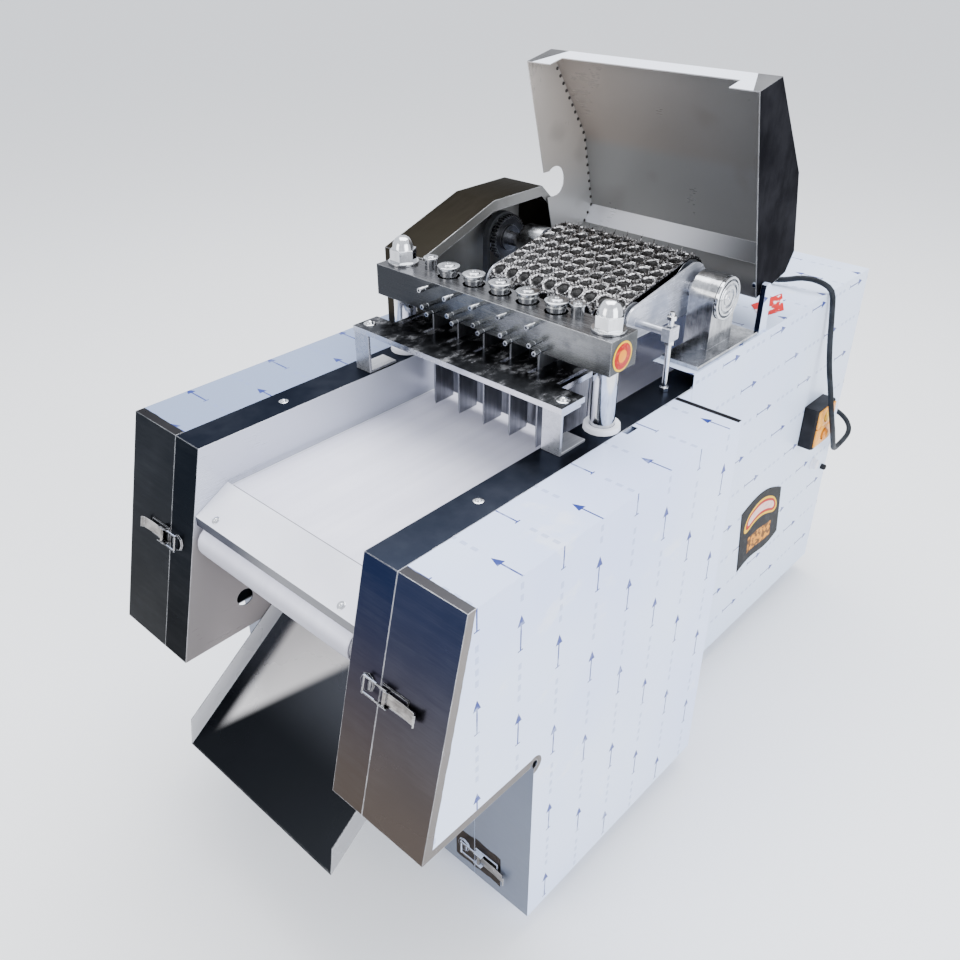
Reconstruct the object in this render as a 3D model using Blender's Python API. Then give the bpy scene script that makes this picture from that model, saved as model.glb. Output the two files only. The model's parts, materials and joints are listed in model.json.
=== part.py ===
"""Meat cutting machine: a belt under a rising and falling knife head, with a spiked press conveyor.

Everything is in metres, +Z up. The machine's length runs along Y with the discharge chute at -Y,
and X = 0 is its middle plane. Lengths named *_BACK are measured from the top front edge of the
casing towards the rear, and heights named *_UP from the top of the side covers.
"""

import math

import bmesh
import bpy
from mathutils import Matrix, Vector

for old in list(bpy.data.objects):
    bpy.data.objects.remove(old, do_unlink=True)

# Driving sizes of the casing
CORE_HALF = 0.217
COVER_WIDTH = 0.103
CHANNEL_WIDTH = 0.054
HALF_WIDTH = CORE_HALF + COVER_WIDTH
TUNNEL_HALF = CORE_HALF - CHANNEL_WIDTH
BODY_HEIGHT = 0.640
FOOT_HEIGHT = 0.040
DECK_RISE = 0.020
SHEET = 0.002
GAP = 0.0003
NOSE_DROP = 0.322
NOSE_LEAN = 0.079
LOWER_BACK = 0.119
COVER_BACK = 0.550
CABINET_BACK = 0.591
REAR_BACK = 1.203
CHUTE_REACH = 0.097

# Belt conveyor
BELT_UP = -0.069
BELT_THICK = 0.003
BELT_SIDE_CLEAR = 0.008
BELT_HALF = TUNNEL_HALF - BELT_SIDE_CLEAR
BED_THICK = 0.008
BED_NOSE_BACK = 0.040
BED_END_BACK = 1.085
FRONT_ROLLER_BACK = -0.005
FRONT_ROLLER_UP = -0.137
FRONT_ROLLER_RADIUS = 0.022
DRIVE_ROLLER_BACK = 1.130
DRIVE_ROLLER_RADIUS = 0.035
ROLLER_AXLE_RADIUS = 0.008
NOSE_PLATE_THICK = 0.003

# Discharge chute
CHUTE_TOP_BACK = 0.180
CHUTE_SLOPE = 0.74
CHUTE_LIP_UP = -0.472
CHUTE_WALL = 0.041

# Knife head
POST_INSET = 0.027
POST_X = CORE_HALF - POST_INSET
POST_BACK = 0.403
POST_RADIUS = 0.0175
NECK_RADIUS = 0.012
HEAD_END = 0.027
HEAD_HALF = POST_X + HEAD_END
HEAD_FRONT_BACK = 0.372
HEAD_REAR_BACK = 0.429
HEAD_LOW_UP = 0.0946
HEAD_HEIGHT = 0.0478
NUT_RADIUS = 0.0205
NUT_HEIGHT = 0.019
NUT_DOME = 0.020
WASHER_RADIUS = 0.0235
WASHER_THICK = 0.003
BLADE_PITCH = 0.050
BLADE_COUNT = 5
BLADE_THICK = 0.003
BLADE_LENGTH = 0.150
BLADE_FRONT_BACK = 0.374
BLADE_DEPTH = 0.040
BLADE_EDGE = 0.008
CROSS_KNIFE_BACK = 0.4225
CROSS_KNIFE_THICK = 0.004
CROSS_KNIFE_CLEAR = 0.013
CROSS_KNIFE_HALF = TUNNEL_HALF - CROSS_KNIFE_CLEAR
POCKET_RADIUS = 0.017
POCKET_DEPTH = 0.022
POCKET_BACK = 0.4085
DISC_RADIUS = 0.0155
DISC_THICK = 0.003
DISC_STAND = 0.007
STUD_RADIUS = 0.004
STROKE_DOWN = 0.012

# Stripper plate and its brackets
STRIPPER_UP = 0.070
STRIPPER_THICK = 0.008
STRIPPER_END = 0.0075
STRIPPER_HALF = POST_X + STRIPPER_END
WAIST_CLEAR = 0.030
STRIPPER_WAIST_HALF = POST_X - WAIST_CLEAR
STRIPPER_FRONT_BACK = 0.302
STRIPPER_SHOULDER_BACK = 0.350
STRIPPER_REAR_BACK = 0.4205
SLOT_WIDTH = 0.005
SLOT_CLEAR = 0.0015
SLOT_COUNT = 7
BRACKET_INSET = 0.051
BRACKET_X = CORE_HALF - BRACKET_INSET
BRACKET_WIDTH = 0.031
BRACKET_FOOT = 0.054
BRACKET_THICK = 0.004

# Crank drive below the knife head
YOKE_ABOVE_BASE = 0.255
YOKE_TOP_UP = YOKE_ABOVE_BASE - BODY_HEIGHT
YOKE_HEIGHT = 0.040
YOKE_DEPTH = 0.040
YOKE_END = 0.0205
YOKE_HALF = POST_X + YOKE_END
WRIST_DROP = 0.020
WRIST_RADIUS = 0.008
ROD_LENGTH = 0.110
ROD_INSET = 0.048
ROD_X = POST_X - ROD_INSET
ROD_THICK = 0.016
ROD_SMALL_RADIUS = 0.018
ROD_BIG_RADIUS = 0.024
LUG_THICK = 0.017
CRANK_THROW = 0.036
SHAFT_RADIUS = 0.0125
WEB_THICK = 0.014
CRANK_PIN_RADIUS = 0.0115
OPEN_PIVOT_GAP = 0.0015
FLYWHEEL_RADIUS = 0.075
PULLEY_HALF = 0.018
GROOVE_DEPTH = 0.009
GROOVE_HALF = 0.008
V_BELT_HALF = 0.007
V_BELT_THICK = 0.006
STAND_X = 0.060
STAND_THICK = 0.024
STAND_ARCH = 0.028
MOTOR_BACK = 0.840
MOTOR_RADIUS = 0.060
MOTOR_LENGTH = 0.150
MOTOR_X = 0.040
MOTOR_PULLEY_RADIUS = 0.040

# Press conveyor
PRESS_BACK = 0.700
PRESS_UP = 0.101
PRESS_SHAFT_RADIUS = 0.012
PRESS_DRUM_RADIUS = 0.0435
PRESS_NOSE_BACK = 0.5535
PRESS_NOSE_UP = 0.090
PRESS_NOSE_RADIUS = 0.028
MAT_SIDE_CLEAR = 0.0375
MAT_HALF = TUNNEL_HALF - MAT_SIDE_CLEAR
MAT_THICK = 0.0027
MAT_CLEAR = 0.0013
MAT_ROWS = 16
MAT_COLUMNS = 8
SPIKE_HEIGHT = 0.009
SPIKE_SHARE = 0.46
SIDE_PLATE_GAP = 0.0055
SIDE_PLATE_X = MAT_HALF + SIDE_PLATE_GAP
SIDE_PLATE_THICK = 0.004
SIDE_PLATE_REAR_RADIUS = 0.040
SIDE_PLATE_FRONT_RADIUS = 0.026
NOSE_AXLE_RADIUS = 0.006
BLOCK_SPACING = 0.0245
BLOCK_X = MAT_HALF + BLOCK_SPACING
BLOCK_WIDTH = 0.042
BLOCK_RADIUS = 0.034
BLOCK_BASE_THICK = 0.006
BLOCK_BASE_FRONT = 0.095
BLOCK_BASE_REAR = 0.082
CAP_RADIUS = 0.025
CAP_PROUD = 0.004
SCREW_SPACING = 0.041
SCREW_X = BLOCK_X + SCREW_SPACING
SCREW_RADIUS = 0.004
SCREW_NUT_RADIUS = 0.0075
SLIDE_HALF = 0.007
SCREW_TOP_UP = 0.122
SPROCKET_OUT = 0.037
SPROCKET_X = CORE_HALF + SPROCKET_OUT
SPROCKET_THICK = 0.007
SPROCKET_RADIUS = 0.036
SPROCKET_TEETH = 10
TOOTH_DEPTH = 0.005
CHAIN_HALF = 0.006
CHAIN_THICK = 0.006
JACK_UP = -0.150
JACK_RADIUS = 0.010

# Chain guard
GUARD_OUT = 0.075
GUARD_IN = 0.012
GUARD_OUTER_X = CORE_HALF + GUARD_OUT
GUARD_INNER_X = CORE_HALF - GUARD_IN
GUARD_LIP = 0.018
GUARD_SHEET = 0.002
GUARD_TOP_UP = 0.187
GUARD_FRONT_BACK = 0.457
GUARD_FRONT_UP = 0.131
GUARD_CREST_BACK = 0.626
GUARD_REAR_BACK = 0.750
GUARD_END_BACK = 0.790
GUARD_END_UP = 0.150
GUARD_BOX_BACK = 0.645
GUARD_BOX_UP = -0.215

# Hood over the press conveyor
HOOD_INSET = 0.0155
HOOD_HALF = CORE_HALF - HOOD_INSET
HOOD_SHEET = 0.0015
HOOD_PROFILE = (
    (0.696, 0.393),
    (0.756, 0.405),
    (0.860, 0.257),
    (0.893, 0.127),
    (0.873, 0.097),
    (0.784, 0.078),
)
HINGE_BACK = 0.800
HINGE_UP = 0.092
HINGE_PIN_RADIUS = 0.004
HOOD_NOTCH_BACK = 0.778
HOOD_NOTCH_UP = 0.190
HOOD_NOTCH_RADIUS = 0.026
HOOD_LIP_INSET = 0.0465
HOOD_LIP_HALF = HOOD_HALF - HOOD_LIP_INSET
HOOD_LIP_CUT = 0.030

# Side covers, their hinges and latches
COVER_HINGE_OUT = 0.007
COVER_HINGE_X = CORE_HALF + COVER_HINGE_OUT
COVER_HINGE_BACK = 0.557
KNUCKLE_RADIUS = 0.004
KNUCKLE_LENGTH = 0.060
KNUCKLE_SETS = 3
LOWER_LATCH_UP = 0.050
LATCH_PLACES = (
    (-0.148, NOSE_LEAN * 0.148 / NOSE_DROP, math.atan2(NOSE_LEAN, NOSE_DROP)),
    (LOWER_LATCH_UP - BODY_HEIGHT, -LOWER_BACK, 0.0),
)
LATCH_BASE_LENGTH = 0.042
LATCH_HALF = 0.012
LEVER_LENGTH = 0.052
KEEPER_RADIUS = 0.011
WIRE_RADIUS = 0.0014

# Switch box on the right side of the rear cabinet
SWITCH_FRONT_BACK = 1.030
SWITCH_DEPTH = 0.075
SWITCH_LOW_UP = -0.288
SWITCH_HEIGHT = 0.084
SWITCH_WIDTH = 0.028
BUTTON_RADIUS = 0.011
BUTTON_PROUD = 0.007
BUTTON_TRAVEL = 0.003

# Feet
FOOT_INSET = 0.062
FOOT_X = CORE_HALF - FOOT_INSET
FOOT_FRONT_BACK = 0.175
FOOT_REAR_BACK = 1.140
FOOT_RADIUS = 0.024
FOOT_STEM = 0.008

# Power cord
CORD_RADIUS = 0.005
CORD_BEND = 0.041
COIL_MEAN_RADIUS = 0.057
COIL_X = 0.0
COIL_BACK = 1.052
COIL_TURNS_WIDE = 2
COIL_TURNS_HIGH = 3
GLAND_INSET = 0.067
GLAND_X = CORE_HALF - GLAND_INSET
GLAND_UP = -0.300
PLUG_LENGTH = 0.058

# Places worked out from the driving sizes
FRONT_Y = (CHUTE_REACH - REAR_BACK) / 2
TOP_Z = FOOT_HEIGHT + BODY_HEIGHT
BASE_Z = FOOT_HEIGHT
DECK_Z = TOP_Z + DECK_RISE
ROUND = 16


def back(distance):
    """Y of a point this far behind the casing's top front edge."""
    return FRONT_Y + distance


def up(height):
    """Z of a point this far above the side covers' top."""
    return TOP_Z + height


def yz(points):
    """Outline points given as (distance back, height up), as world (Y, Z)."""
    return [(back(b), up(h)) for b, h in points]


# Materials
def finish(name, colour, roughness, metallic):
    """A Principled BSDF with one colour, roughness and metallic value."""
    made = bpy.data.materials.new(name)
    made.use_nodes = True
    shader = made.node_tree.nodes["Principled BSDF"]
    shader.inputs["Base Color"].default_value = (*colour, 1.0)
    shader.inputs["Roughness"].default_value = roughness
    shader.inputs["Metallic"].default_value = metallic
    made.diffuse_color = (*colour, 1.0)
    return made


STEEL = finish("brushed_steel", (0.42, 0.43, 0.46), 0.34, 1.0)
DARK_STEEL = finish("dark_steel", (0.12, 0.12, 0.14), 0.36, 1.0)
FILM = finish("film_covered_steel", (0.78, 0.82, 0.92), 0.32, 0.0)
CHROME = finish("polished_steel", (0.72, 0.73, 0.75), 0.12, 1.0)
BLADE_STEEL = finish("blade_steel", (0.36, 0.37, 0.40), 0.28, 1.0)
MAT_STEEL = finish("spiked_mat_steel", (0.50, 0.50, 0.52), 0.25, 1.0)
CAST = finish("cast_iron", (0.10, 0.11, 0.12), 0.55, 0.6)
BELT = finish("white_belt", (0.80, 0.80, 0.88), 0.50, 0.0)
WHITE_PLASTIC = finish("white_plastic", (0.86, 0.86, 0.86), 0.45, 0.0)
RUBBER = finish("black_rubber", (0.03, 0.03, 0.035), 0.70, 0.0)
GREY_CORD = finish("cord_grey", (0.11, 0.12, 0.14), 0.55, 0.0)
BLACK_PLASTIC = finish("black_plastic", (0.03, 0.03, 0.035), 0.50, 0.0)
AMBER = finish("amber_plastic", (0.85, 0.42, 0.06), 0.45, 0.0)
YELLOW = finish("yellow_plastic", (0.95, 0.66, 0.20), 0.40, 0.0)
MOTOR_PAINT = finish("motor_paint", (0.10, 0.16, 0.26), 0.45, 0.1)


# Shape helpers: each gives a closed bmesh in world coordinates
def place(axis, u, v, w):
    """World point with w along the axis and (u, v) across it, in X, Y, Z order."""
    return {"X": (w, u, v), "Y": (u, w, v), "Z": (u, v, w)}[axis]


def prism(outline, low, high, axis="X"):
    """A flat outline carried along one axis."""
    made = bmesh.new()
    ends = [[made.verts.new(place(axis, u, v, w)) for u, v in outline] for w in (low, high)]
    made.faces.new(ends[0])
    made.faces.new(ends[1])
    for i in range(len(outline)):
        j = (i + 1) % len(outline)
        made.faces.new((ends[0][i], ends[0][j], ends[1][j], ends[1][i]))
    bmesh.ops.recalc_face_normals(made, faces=made.faces)
    return made


def box(x0, x1, y0, y1, z0, z1):
    """A block between two corners."""
    return prism([(y0, z0), (y1, z0), (y1, z1), (y0, z1)], min(x0, x1), max(x0, x1))


def circle(u, v, radius, count=ROUND, start=0.0):
    """Points of a circle whose corners lie on the given radius."""
    steps = [start + 2 * math.pi * k / count for k in range(count)]
    return [(u + radius * math.cos(t), v + radius * math.sin(t)) for t in steps]


def rod(axis, u, v, radius, low, high, count=ROUND):
    """A plain cylinder along an axis."""
    return prism(circle(u, v, radius, count), low, high, axis)


def turned(axis, u, v, profile, count=ROUND):
    """A solid of revolution: profile is (distance along the axis, radius) from end to end."""
    made = bmesh.new()
    rings = [[made.verts.new(place(axis, a, b, w)) for a, b in circle(u, v, r, count)] for w, r in profile]
    for ring, following in zip(rings, rings[1:]):
        for i in range(count):
            j = (i + 1) % count
            made.faces.new((ring[i], ring[j], following[j], following[i]))
    made.faces.new(rings[0])
    made.faces.new(rings[-1])
    bmesh.ops.recalc_face_normals(made, faces=made.faces)
    return made


def ring(axis, u, v, profile, count=ROUND):
    """A turned ring: profile is a closed loop of (distance along the axis, radius)."""
    made = bmesh.new()
    rings = [[made.verts.new(place(axis, a, b, w)) for a, b in circle(u, v, r, count)] for w, r in profile]
    for ring_a, ring_b in zip(rings, rings[1:] + rings[:1]):
        for i in range(count):
            j = (i + 1) % count
            made.faces.new((ring_a[i], ring_a[j], ring_b[j], ring_b[i]))
    bmesh.ops.recalc_face_normals(made, faces=made.faces)
    return made


def band(outer, inner, low, high, axis="X"):
    """A closed strip between two loops of equally many points, carried along an axis."""
    made = bmesh.new()
    loops = [
        [made.verts.new(place(axis, u, v, w)) for u, v in loop]
        for loop in (outer, inner)
        for w in (low, high)
    ]
    outer_low, outer_high, inner_low, inner_high = loops
    for i in range(len(outer)):
        j = (i + 1) % len(outer)
        made.faces.new((outer_low[i], outer_low[j], outer_high[j], outer_high[i]))
        made.faces.new((inner_low[j], inner_low[i], inner_high[i], inner_high[j]))
        made.faces.new((outer_low[j], outer_low[i], inner_low[i], inner_low[j]))
        made.faces.new((outer_high[i], outer_high[j], inner_high[j], inner_high[i]))
    bmesh.ops.recalc_face_normals(made, faces=made.faces)
    return made


def offset(points, distance, closed=True):
    """The polyline moved sideways to its left by a distance, with mitred corners."""
    count = len(points)
    moved = []
    for i in range(count):
        before = points[i - 1] if closed or i else None
        after = points[(i + 1) % count] if closed or i < count - 1 else None
        normals = []
        for a, b in ((before, points[i]), (points[i], after)):
            if a is not None and b is not None:
                run = Vector(b) - Vector(a)
                normals.append(Vector((-run.y, run.x)).normalized())
        total = normals[0] + normals[-1]
        step = total * (2 * distance / total.dot(total)) if len(normals) == 2 else normals[0] * distance
        moved.append((points[i][0] + step.x, points[i][1] + step.y))
    return moved


def folded(points, thickness):
    """Outline of a sheet folded along an open path, its thickness to the left of the path."""
    return list(points) + offset(points, thickness, closed=False)[::-1]


def loop_round(circles, step=math.radians(20)):
    """Loop of a belt round circles (u, v, radius) listed anticlockwise; its chords clear them."""
    count = len(circles)
    angles = []
    for i in range(count):
        (u1, v1, r1), (u2, v2, r2) = circles[i], circles[(i + 1) % count]
        along = math.atan2(v2 - v1, u2 - u1)
        angles.append(along - math.acos((r1 - r2) / math.hypot(u2 - u1, v2 - v1)))
    points = []
    for i in range(count):
        u, v, r = circles[i]
        start = angles[i - 1]
        sweep = (angles[i] - start) % (2 * math.pi)
        parts = max(1, math.ceil(sweep / step))
        turn = sweep / parts
        points.append((u + r * math.cos(start), v + r * math.sin(start)))
        for k in range(parts):
            t = start + (k + 0.5) * turn
            reach = r / math.cos(turn / 2)
            points.append((u + reach * math.cos(t), v + reach * math.sin(t)))
        points.append((u + r * math.cos(angles[i]), v + r * math.sin(angles[i])))
    return points


def grown(circles, extra):
    """The same circles with more radius."""
    return [(u, v, r + extra) for u, v, r in circles]


def scratch_object(shape):
    mesh = bpy.data.meshes.new("shape")
    shape.to_mesh(mesh)
    shape.free()
    made = bpy.data.objects.new("shape", mesh)
    bpy.context.scene.collection.objects.link(made)
    return made


def combine(body, cuts=(), joins=()):
    """Exact Booleans on closed shapes: the body with some shapes joined to it, then some cut from it."""
    base = scratch_object(body)
    others = []
    for operation, shapes in (("UNION", joins), ("DIFFERENCE", cuts)):
        for shape in shapes:
            tool = scratch_object(shape)
            others.append(tool)
            step = base.modifiers.new(operation.lower(), "BOOLEAN")
            step.operation = operation
            step.solver = "EXACT"
            step.object = tool
    bpy.context.view_layer.update()
    result = base.evaluated_get(bpy.context.evaluated_depsgraph_get())
    made = bmesh.new()
    made.from_mesh(result.to_mesh())
    result.to_mesh_clear()
    for each in [base] + others:
        mesh = each.data
        bpy.data.objects.remove(each, do_unlink=True)
        bpy.data.meshes.remove(mesh)
    return made


def mirrored(shape):
    """The shape reflected in the middle plane."""
    made = shape.copy()
    shape.free()
    bmesh.ops.scale(made, vec=(-1, 1, 1), verts=made.verts)
    bmesh.ops.reverse_faces(made, faces=made.faces)
    return made


def sub_part(name, shape, material, origin=(0.0, 0.0, 0.0), smooth=False):
    """Stores a shape as a named object whose origin lies at the given point."""
    bmesh.ops.translate(shape, verts=shape.verts, vec=-Vector(origin))
    mesh = bpy.data.meshes.new(name)
    shape.to_mesh(mesh)
    shape.free()
    mesh.materials.clear()
    mesh.materials.append(material)
    if smooth:
        mesh.shade_smooth()
        mesh.set_sharp_from_angle(angle=math.radians(35))
    made = bpy.data.objects.new(name, mesh)
    made.location = origin
    bpy.context.scene.collection.objects.link(made)
    return made


def both_sides(name, make, material, origin=(0.0, 0.0, 0.0), smooth=False):
    """Makes the right-hand piece and its mirror image on the left."""
    sub_part(name + "_right", make(), material, origin, smooth)
    sub_part(name + "_left", mirrored(make()), material, (-origin[0], origin[1], origin[2]), smooth)


# Casing
def base_casing():
    """Open-topped box under the knife head, with its hinge leaves for the side covers."""
    outer = box(-CORE_HALF, CORE_HALF, back(LOWER_BACK), back(CABINET_BACK), BASE_Z, up(-SHEET - GAP))
    inside = CORE_HALF - SHEET
    hollow = box(
        -inside, inside, back(LOWER_BACK) + SHEET, back(CABINET_BACK) + SHEET, BASE_Z + SHEET, up(
            SHEET
        ),
    )
    window = box(
        -inside, inside, back(LOWER_BACK) - SHEET, back(LOWER_BACK) + 2 * SHEET,
        up(-NOSE_DROP - SHEET - GAP), up(SHEET),
    )
    leaves = []
    for side in (-1, 1):
        leaf_x = side * (CORE_HALF - SHEET / 2), side * (CORE_HALF + SHEET)
        y = back(COVER_HINGE_BACK)
        for low, high in knuckle_spans(0):
            leaves.append(box(*leaf_x, y, back(CABINET_BACK) - SHEET, low, high))
            leaves.append(box(side * CORE_HALF, side * COVER_HINGE_X, y + 0.001, y + 0.003, low, high))
            leaves.append(rod("Z", side * COVER_HINGE_X, y, KNUCKLE_RADIUS, low, high, 6))
    keepers = [keeper(1), mirrored(keeper(1))]
    return combine(outer, cuts=(hollow, window), joins=leaves + keepers)


def knuckle_spans(which):
    """Heights of the fixed (0) or the moving (1) knuckles of a side cover's hinge."""
    pitch = (BODY_HEIGHT - 2 * KNUCKLE_LENGTH) / KNUCKLE_SETS
    spans = []
    for k in range(KNUCKLE_SETS):
        low = BASE_Z + KNUCKLE_LENGTH + k * pitch + which * (KNUCKLE_LENGTH / 2 + 0.001)
        spans.append((low, low + KNUCKLE_LENGTH / 2))
    return spans


def channel():
    """Right-hand channel beside the belt: inner wall, leaning front, top flange and keeper."""
    low = up(-NOSE_DROP)
    face = [(back(0), TOP_Z), (back(-NOSE_LEAN), low)]
    rear = back(REAR_BACK) - SHEET - GAP
    outline = [face[0], face[1], (rear, low), (rear, TOP_Z)]
    body = prism(outline, TUNNEL_HALF, CORE_HALF)
    inner = offset(outline, SHEET)
    inner[2] = (rear + SHEET, inner[2][1])
    inner[3] = (rear + SHEET, inner[3][1])
    hollow = prism(inner, TUNNEL_HALF + SHEET, CORE_HALF + SHEET)
    flange = 0.008
    under = box(
        TUNNEL_HALF + flange, CORE_HALF + SHEET, back(-NOSE_LEAN) + 0.012, rear + SHEET, low - SHEET,
        low + 2 * SHEET,
    )
    rebate = box(
        CORE_HALF - SHEET - GAP, CORE_HALF + SHEET, back(CABINET_BACK) - SHEET, rear + SHEET,
        low - SHEET, up(SHEET),
    )
    post_hole = rod("Z", POST_X, back(POST_BACK), POST_RADIUS + 0.003, up(-0.006), up(0.003))
    screw_hole = rod("Z", SCREW_X, back(PRESS_NOSE_BACK), SCREW_RADIUS + GAP, up(-0.006), up(0.003), 12)
    sight_hole = rod("X", back(0.032), up(-0.267), 0.014, TUNNEL_HALF - SHEET, TUNNEL_HALF + 2 * SHEET)
    return combine(body, cuts=(hollow, under, rebate, post_hole, screw_hole, sight_hole), joins=(keeper(0),))


def rear_cabinet():
    """Rear casing with the deck, the infeed mouth, the press opening and the hood's hinge lugs."""
    front = back(CABINET_BACK) + GAP
    inside = CORE_HALF - SHEET
    outer = box(-CORE_HALF, CORE_HALF, front, back(REAR_BACK), BASE_Z, DECK_Z)
    hollow = box(-inside, inside, front - SHEET, back(REAR_BACK) - SHEET, BASE_Z + SHEET, DECK_Z - SHEET)
    press_opening = box(
        -0.145, 0.145, front - SHEET, back(HINGE_BACK) - 0.020, DECK_Z - 2 * SHEET, DECK_Z + SHEET,
    )
    mouth = box(
        -0.150, 0.150, back(REAR_BACK) - 2 * SHEET, back(REAR_BACK) + SHEET, up(BELT_UP) + SHEET,
        up(0.008),
    )
    jack_hole = rod(
        "X", back(PRESS_BACK), up(JACK_UP), JACK_RADIUS + GAP, -CORE_HALF - SHEET, -inside + SHEET,
    )
    lugs = []
    for side in (-1, 1):
        y, z = back(HINGE_BACK), up(HINGE_UP)
        outer_x = side * (HOOD_HALF + 0.0105)
        lug = [(y - 0.009, DECK_Z - SHEET / 2), (y + 0.015, DECK_Z - SHEET / 2)]
        lug += [
            (y + 0.009 * math.cos(t), z + 0.009 * math.sin(t))
            for t in (math.pi * k / 6 for k in range(7))
        ]
        ends = sorted((side * (HOOD_HALF + 0.0015), outer_x))
        lugs.append(prism(lug, *ends))
        ends = sorted((side * (HOOD_HALF - 0.016), outer_x - side * 0.002))
        lugs.append(rod("X", y, z, HINGE_PIN_RADIUS, *ends, count=12))
    return combine(outer, cuts=(hollow, press_opening, mouth, jack_hole), joins=lugs)


def foot(x, y):
    """Levelling foot: a round pad on a stem."""
    profile = [(0.0, FOOT_RADIUS), (0.006, FOOT_RADIUS), (0.013, FOOT_STEM), (BASE_Z - GAP, FOOT_STEM)]
    return turned("Z", x, y, profile, 12)


# Belt conveyor
def belt_circles():
    """What the belt runs round, anticlockwise seen from the left: front roller, drive roller, bed nose."""
    bed_z = up(BELT_UP) - BELT_THICK - GAP
    drive = (back(DRIVE_ROLLER_BACK), bed_z - DRIVE_ROLLER_RADIUS, DRIVE_ROLLER_RADIUS)
    nose = (back(BED_NOSE_BACK), bed_z - BED_THICK / 2, BED_THICK / 2)
    return [(back(FRONT_ROLLER_BACK), up(FRONT_ROLLER_UP), FRONT_ROLLER_RADIUS), drive, nose]


def conveyor_belt():
    circles = grown(belt_circles(), GAP)
    return band(loop_round(grown(circles, BELT_THICK)), loop_round(circles), -BELT_HALF, BELT_HALF)


def bed_plate():
    """Cutting board under the belt's top run, with a rounded nose that the belt slides over."""
    u, v, radius = belt_circles()[2]
    outline = [
        (u + radius * math.sin(t), v + radius * math.cos(t))
        for t in (-math.pi * k / 6 for k in range(7))
    ]
    outline += [(back(BED_END_BACK), v - radius), (back(BED_END_BACK), v + radius)]
    return prism(outline, -TUNNEL_HALF + GAP, TUNNEL_HALF - GAP)


def belt_roller(index):
    """A roller between the channel walls, turned in one piece with its axle ends."""
    u, v, radius = belt_circles()[index]
    end = TUNNEL_HALF - GAP
    profile = [(-end, ROLLER_AXLE_RADIUS), (-BELT_HALF, ROLLER_AXLE_RADIUS), (-BELT_HALF, radius)]
    profile += [(-w, r) for w, r in profile[::-1]]
    return turned("X", u, v, profile)


def nose_plate():
    """Sloping white plate over the belt's nose, with a folded front lip."""
    path = yz([(-0.022, -0.110), (-0.022, -0.0955), (0.034, -0.0657)])
    return prism(folded(path, -NOSE_PLATE_THICK), -TUNNEL_HALF + GAP, TUNNEL_HALF - GAP)


def discharge_chute():
    """Trough that slopes down to the front, with upright side walls."""
    run = CHUTE_TOP_BACK + CHUTE_REACH
    lip = (-CHUTE_REACH, CHUTE_LIP_UP)
    top = (CHUTE_TOP_BACK, CHUTE_LIP_UP + run * CHUTE_SLOPE)
    body = prism(
        yz([lip, top, (top[0], top[1] + CHUTE_WALL), (lip[0] + 0.007, lip[1] + CHUTE_WALL + 0.005)]),
        -TUNNEL_HALF + GAP, TUNNEL_HALF - GAP,
    )
    floor = SHEET * math.hypot(1, CHUTE_SLOPE)
    more = 0.05
    inner = yz(
        [
            (lip[0] - more, lip[1] - more * CHUTE_SLOPE + floor),
            (top[0] + more, top[1] + more * CHUTE_SLOPE + floor), (top[0] + more, top[1] + 0.2),
            (lip[0] - more, lip[1] + 0.2),
        ]
    )
    half = TUNNEL_HALF - GAP - SHEET
    return combine(body, cuts=(prism(inner, -half, half),))


# Knife head
def blade_places(count):
    """X of the long blades, or of the stripper plate's slots, from left to right."""
    return [BLADE_PITCH * (k - (count - 1) / 2) for k in range(count)]


def crosshead():
    """Beam over the posts, with a pocket and a raised disc bolt above each blade."""
    low, high = up(HEAD_LOW_UP), up(HEAD_LOW_UP + HEAD_HEIGHT)
    beam = box(-HEAD_HALF, HEAD_HALF, back(HEAD_FRONT_BACK), back(HEAD_REAR_BACK), low, high)
    y = back(POCKET_BACK)
    cuts = [
        rod("Z", side * POST_X, back(POST_BACK), NECK_RADIUS + GAP, low - SHEET, high + SHEET)
        for side in (-1, 1)
    ]
    bolts = []
    for x in blade_places(BLADE_COUNT):
        floor = high - POCKET_DEPTH
        cuts.append(
            ring(
                "Z", x, y,
                [
                    (floor, STUD_RADIUS), (floor, POCKET_RADIUS), (high + 0.001, POCKET_RADIUS),
                    (high + 0.001, STUD_RADIUS),
                ],
                10,
            )
        )
        profile = [
            (floor - 0.004, STUD_RADIUS), (high + DISC_STAND, STUD_RADIUS),
            (high + DISC_STAND, DISC_RADIUS), (high + DISC_STAND + DISC_THICK, DISC_RADIUS - 0.001),
        ]
        bolts.append(turned("Z", x, y, profile, 10))
    carved = combine(beam, cuts=cuts)
    return combine(carved, joins=bolts)


def post():
    """Guide post with its reduced neck, washer and domed nut."""
    x, y = POST_X, back(POST_BACK)
    shoulder = up(HEAD_LOW_UP) - GAP
    top = up(HEAD_LOW_UP + HEAD_HEIGHT) + GAP
    nut_low = top + WASHER_THICK
    nut_high = nut_low + NUT_HEIGHT
    profile = [
        (up(YOKE_TOP_UP) + GAP, POST_RADIUS), (shoulder, POST_RADIUS), (shoulder, NECK_RADIUS),
        (nut_low + 0.002, NECK_RADIUS),
    ]
    shank = turned("Z", x, y, profile)
    washer = rod("Z", x, y, WASHER_RADIUS, top, nut_low + 0.0005)
    hexagon = rod("Z", x, y, NUT_RADIUS, nut_low, nut_high, 6)
    dome_radius = NUT_RADIUS * 0.82
    arcs = [math.pi / 2 * k / 4 for k in range(4)]
    dome = [(nut_high - 0.001, dome_radius)] + [
        (nut_high + NUT_DOME * math.sin(t), dome_radius * math.cos(t))
        for t in arcs
    ]
    return combine(shank, joins=(washer, hexagon, turned("Z", x, y, dome, 12)))


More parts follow.
